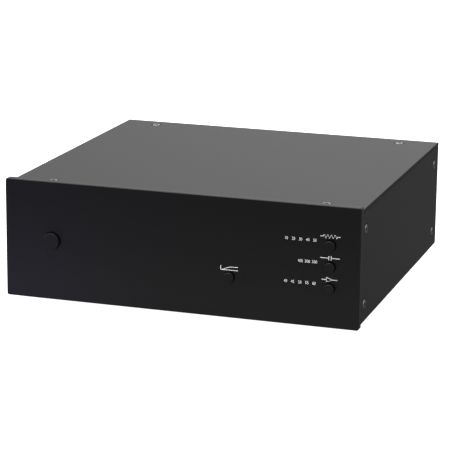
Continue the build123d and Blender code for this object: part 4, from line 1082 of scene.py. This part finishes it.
@dataclass
class Studio:
    """Pale floor, soft lights and the camera, with places and sizes in metres.

    Args:
        floor_size, floor_glow: width of the table, and the light that it gives.
        azimuth, elevation, roll: camera's angles in degrees, from straight in front.
        clip, camera_place: nearest and farthest distance that is seen, and the camera's place.
        softbox_place, softbox_size, softbox_power: overhead softbox, with its power in watts.
        room, glows: level of the room, and its soft patches.
        card_drop, card_reach: reflector card under the table's top, and half the depth that it changes over.
        card_levels: depth and level of each stop of the card.
        cool, cool_lift: colour of its cool corner, and how much brighter that is.
    """

    floor_size: float = 14.0
    floor_glow: float = 1.1
    azimuth: float = 18.02
    elevation: float = 14.25
    roll: float = 0.592
    lens: float = 161.0
    sensor: float = 36.0
    clip: tuple[float, float] = (0.01, 50.0)
    camera_place: tuple[float, float, float] = (0.35452, -1.10622, 0.32527)
    softbox_place: tuple[float, float, float] = (-0.3, 0.1, 1.5)
    softbox_size: tuple[float, float] = (1.2, 1.0)
    softbox_power: float = 9.0
    room: float = 0.06
    glows: tuple[Glow, ...] = (
        Glow("sweep behind the table", (-0.1, 0.95, 0.1), inner=8.0, outer=34.0, level=0.745, flat=1.6),
        Glow("ceiling", (0.0, 0.0, 1.0), inner=60.0, outer=85.0, level=0.45),
        Glow("window on the left", (-0.9, 0.0, 0.25), inner=12.0, outer=40.0, level=0.9, colour="eef2ff"),
        Glow("window on the right", (0.9, 0.25, 0.3), inner=12.0, outer=40.0, level=0.65),
        Glow("soft light in front", (0.1, -0.9, 0.42), inner=6.0, outer=24.0, level=0.55, flat=1.6),
    )
    card_drop: float = 0.0005
    card_reach: float = 0.5
    card_levels: tuple[tuple[float, float], ...] = (
        (-0.45, 0.035), (-0.12, 0.242), (-0.09, 0.115), (0.1, 0.138), (0.35, 0.138)
    )
    cool: str = "dcd6ff"
    cool_lift: float = 1.9

    def floor(self) -> None:
        """Lays a matte white table, lit from below, and the dark card that polished faces see instead."""
        white = Moulded(
            "lit_white_acrylic_table", "f4f4f4", "f7f7f7", 0.9, 0.02, ior=1.3, grain=60.0, relief=0.0
        ).build()
        shader = next(node for node in white.node_tree.nodes if node.type == "BSDF_PRINCIPLED")
        shader.inputs["Emission Color"].default_value = linear("ffffff")
        shader.inputs["Emission Strength"].default_value = self.floor_glow
        table = self.sheet("table", 0.0, white)
        table.visible_glossy = False
        card = self.sheet("reflector_card", -self.card_drop, self.card())
        card.visible_camera = card.visible_diffuse = card.visible_transmission = card.visible_shadow = False

    def sheet(self, name: str, height: float, finish: Material) -> bpy.types.Object:
        """Lays one flat sheet.

        Args:
            name: name of the sheet.
            height: its height in metres.
            finish: its material.

        Returns:
            The sheet.
        """
        shape = bmesh.new()
        bmesh.ops.create_grid(shape, x_segments=2, y_segments=2, size=self.floor_size / 2)
        bmesh.ops.translate(shape, verts=shape.verts, vec=(0, 0, height))
        mesh = bpy.data.meshes.new(name)
        shape.to_mesh(mesh)
        shape.free()
        mesh.materials.append(finish)
        sheet = add_object(name, mesh)
        return sheet

    def card(self) -> Material:
        """Makes a grey card that glows a little more next to the object, cool at its left front.

        Returns:
            Its material.
        """
        material = bpy.data.materials.new("grey_reflector_card")
        material.use_nodes = True
        tree = material.node_tree
        tree.nodes.clear()
        place = add_node(tree, "TexCoord").outputs["Object"]
        across, depth = add_node(tree, "SeparateXYZ", {0: place}).outputs[:2]
        reach = {"From Min": -self.card_reach, "From Max": self.card_reach}
        along = socket(tree, "MapRange", {"Value": depth, **reach})
        ramp = add_node(tree, "ValToRGB", {0: along})
        for step, (y, level) in enumerate(self.card_levels):
            share = (y + self.card_reach) / (2 * self.card_reach)
            stop = ramp.color_ramp.elements.new(share) if step > 1 else ramp.color_ramp.elements[step]
            stop.position = share
            stop.color = (level, level, level, 1.0)
        away = socket(tree, "Math", {0: depth}, operation="ABSOLUTE")
        limit_lean, limit_half, fade_start, fade_full = 0.43, 0.06, -0.09, -0.12
        spread = socket(tree, "Math", {0: away, 1: limit_lean, 2: across}, operation="MULTIPLY_ADD")
        limit = {"From Min": -limit_half, "From Max": limit_half, "To Min": 1.0, "To Max": 0.0}
        left = socket(tree, "MapRange", {"Value": spread, **limit}, interpolation_type="SMOOTHSTEP")
        front = socket(tree, "MapRange", {"Value": depth, "From Min": fade_start, "From Max": fade_full})
        cool = socket(tree, "Math", {0: left, 1: front}, operation="MULTIPLY")
        colours = {0: cool, 6: linear("ffffff"), 7: linear(self.cool)}
        tint = add_node(tree, "Mix", colours, data_type="RGBA").outputs[2]
        lift = socket(tree, "MapRange", {"Value": cool, "To Min": 1.0, "To Max": self.cool_lift})
        level = socket(tree, "Math", {0: ramp.outputs[0], 1: lift}, operation="MULTIPLY")
        glow = add_node(tree, "Emission", {"Color": tint, "Strength": level})
        add_node(tree, "OutputMaterial", {"Surface": glow.outputs[0]})
        return material

    def world(self) -> None:
        """Puts a dim room with soft patches round the object, and plain white behind it for the camera."""
        world = bpy.data.worlds.new("studio")
        bpy.context.scene.world = world
        world.use_nodes = True
        tree = world.node_tree
        tree.nodes.clear()
        direction = add_node(tree, "TexCoord").outputs["Generated"]
        light = Vector((self.room, self.room, self.room))
        for glow in self.glows:
            light = socket(tree, "VectorMath", {0: light, 1: glow.add(tree, direction)})
        room = socket(tree, "Background", {"Color": light, "Strength": 1.0})
        plain = socket(tree, "Background", {"Color": linear("ffffff"), "Strength": 1.0})
        looking = add_node(tree, "LightPath").outputs["Is Camera Ray"]
        seen = add_node(tree, "MixShader", {0: looking, 1: room, 2: plain})
        add_node(tree, "OutputWorld", {"Surface": seen.outputs[0]})

    def softbox(self) -> None:
        """Hangs the overhead softbox, aimed at the object's foot."""
        lamp = bpy.data.lights.new("overhead", "AREA")
        lamp.shape = "RECTANGLE"
        lamp.size, lamp.size_y = self.softbox_size
        lamp.energy = self.softbox_power
        holder = add_object("overhead", lamp)
        holder.location = self.softbox_place
        holder.rotation_euler = (-Vector(self.softbox_place)).to_track_quat("-Z", "Y").to_euler()

    def camera(self) -> None:
        """Stands the camera a little above the object, to the right of its middle."""
        data = bpy.data.cameras.new("camera")
        data.lens = self.lens
        data.sensor_width = self.sensor
        data.clip_start, data.clip_end = self.clip
        camera = add_object("camera", data)
        around = Matrix.Rotation(math.radians(self.azimuth), 4, "Z")
        tilt = Matrix.Rotation(math.radians(90 - self.elevation), 4, "X")
        roll = Matrix.Rotation(math.radians(self.roll), 4, "Z")
        camera.matrix_world = Matrix.Translation(self.camera_place) @ around @ tilt @ roll
        bpy.context.scene.camera = camera

    def build(self) -> None:
        """Sets up floor, surroundings, light and camera."""
        self.floor()
        self.world()
        self.softbox()
        self.camera()
        bpy.context.scene.view_settings.view_transform = "Standard"


def main() -> None:
    """Dresses the frame, adds the pieces and sets up the studio."""
    logging.basicConfig(level=logging.INFO, format="%(message)s")
    finishes = FinishSet()
    finishes.dress()
    for screen_print in (FrontPrint(), RearPrint()):
        screen_print.build(finishes.material(finishes.ink))
    # The key sockets take a near-black material as painted shade.
    steel, socket_shade = finishes.material(finishes.black_screw), finishes.material(finishes.key_socket_shade)
    SunkScrews("top_screws", Axis.Z, (1,)).build(steel, socket_shade)
    SunkScrews("base_screws", Axis.Z, (-1,)).build(steel, socket_shade)
    SunkScrews("side_screws", Axis.X, (-1, 1)).build(steel, socket_shade)
    GroundPost().build(finishes.material(finishes.gold))
    Studio().build()


if __name__ == "__main__":
    main()
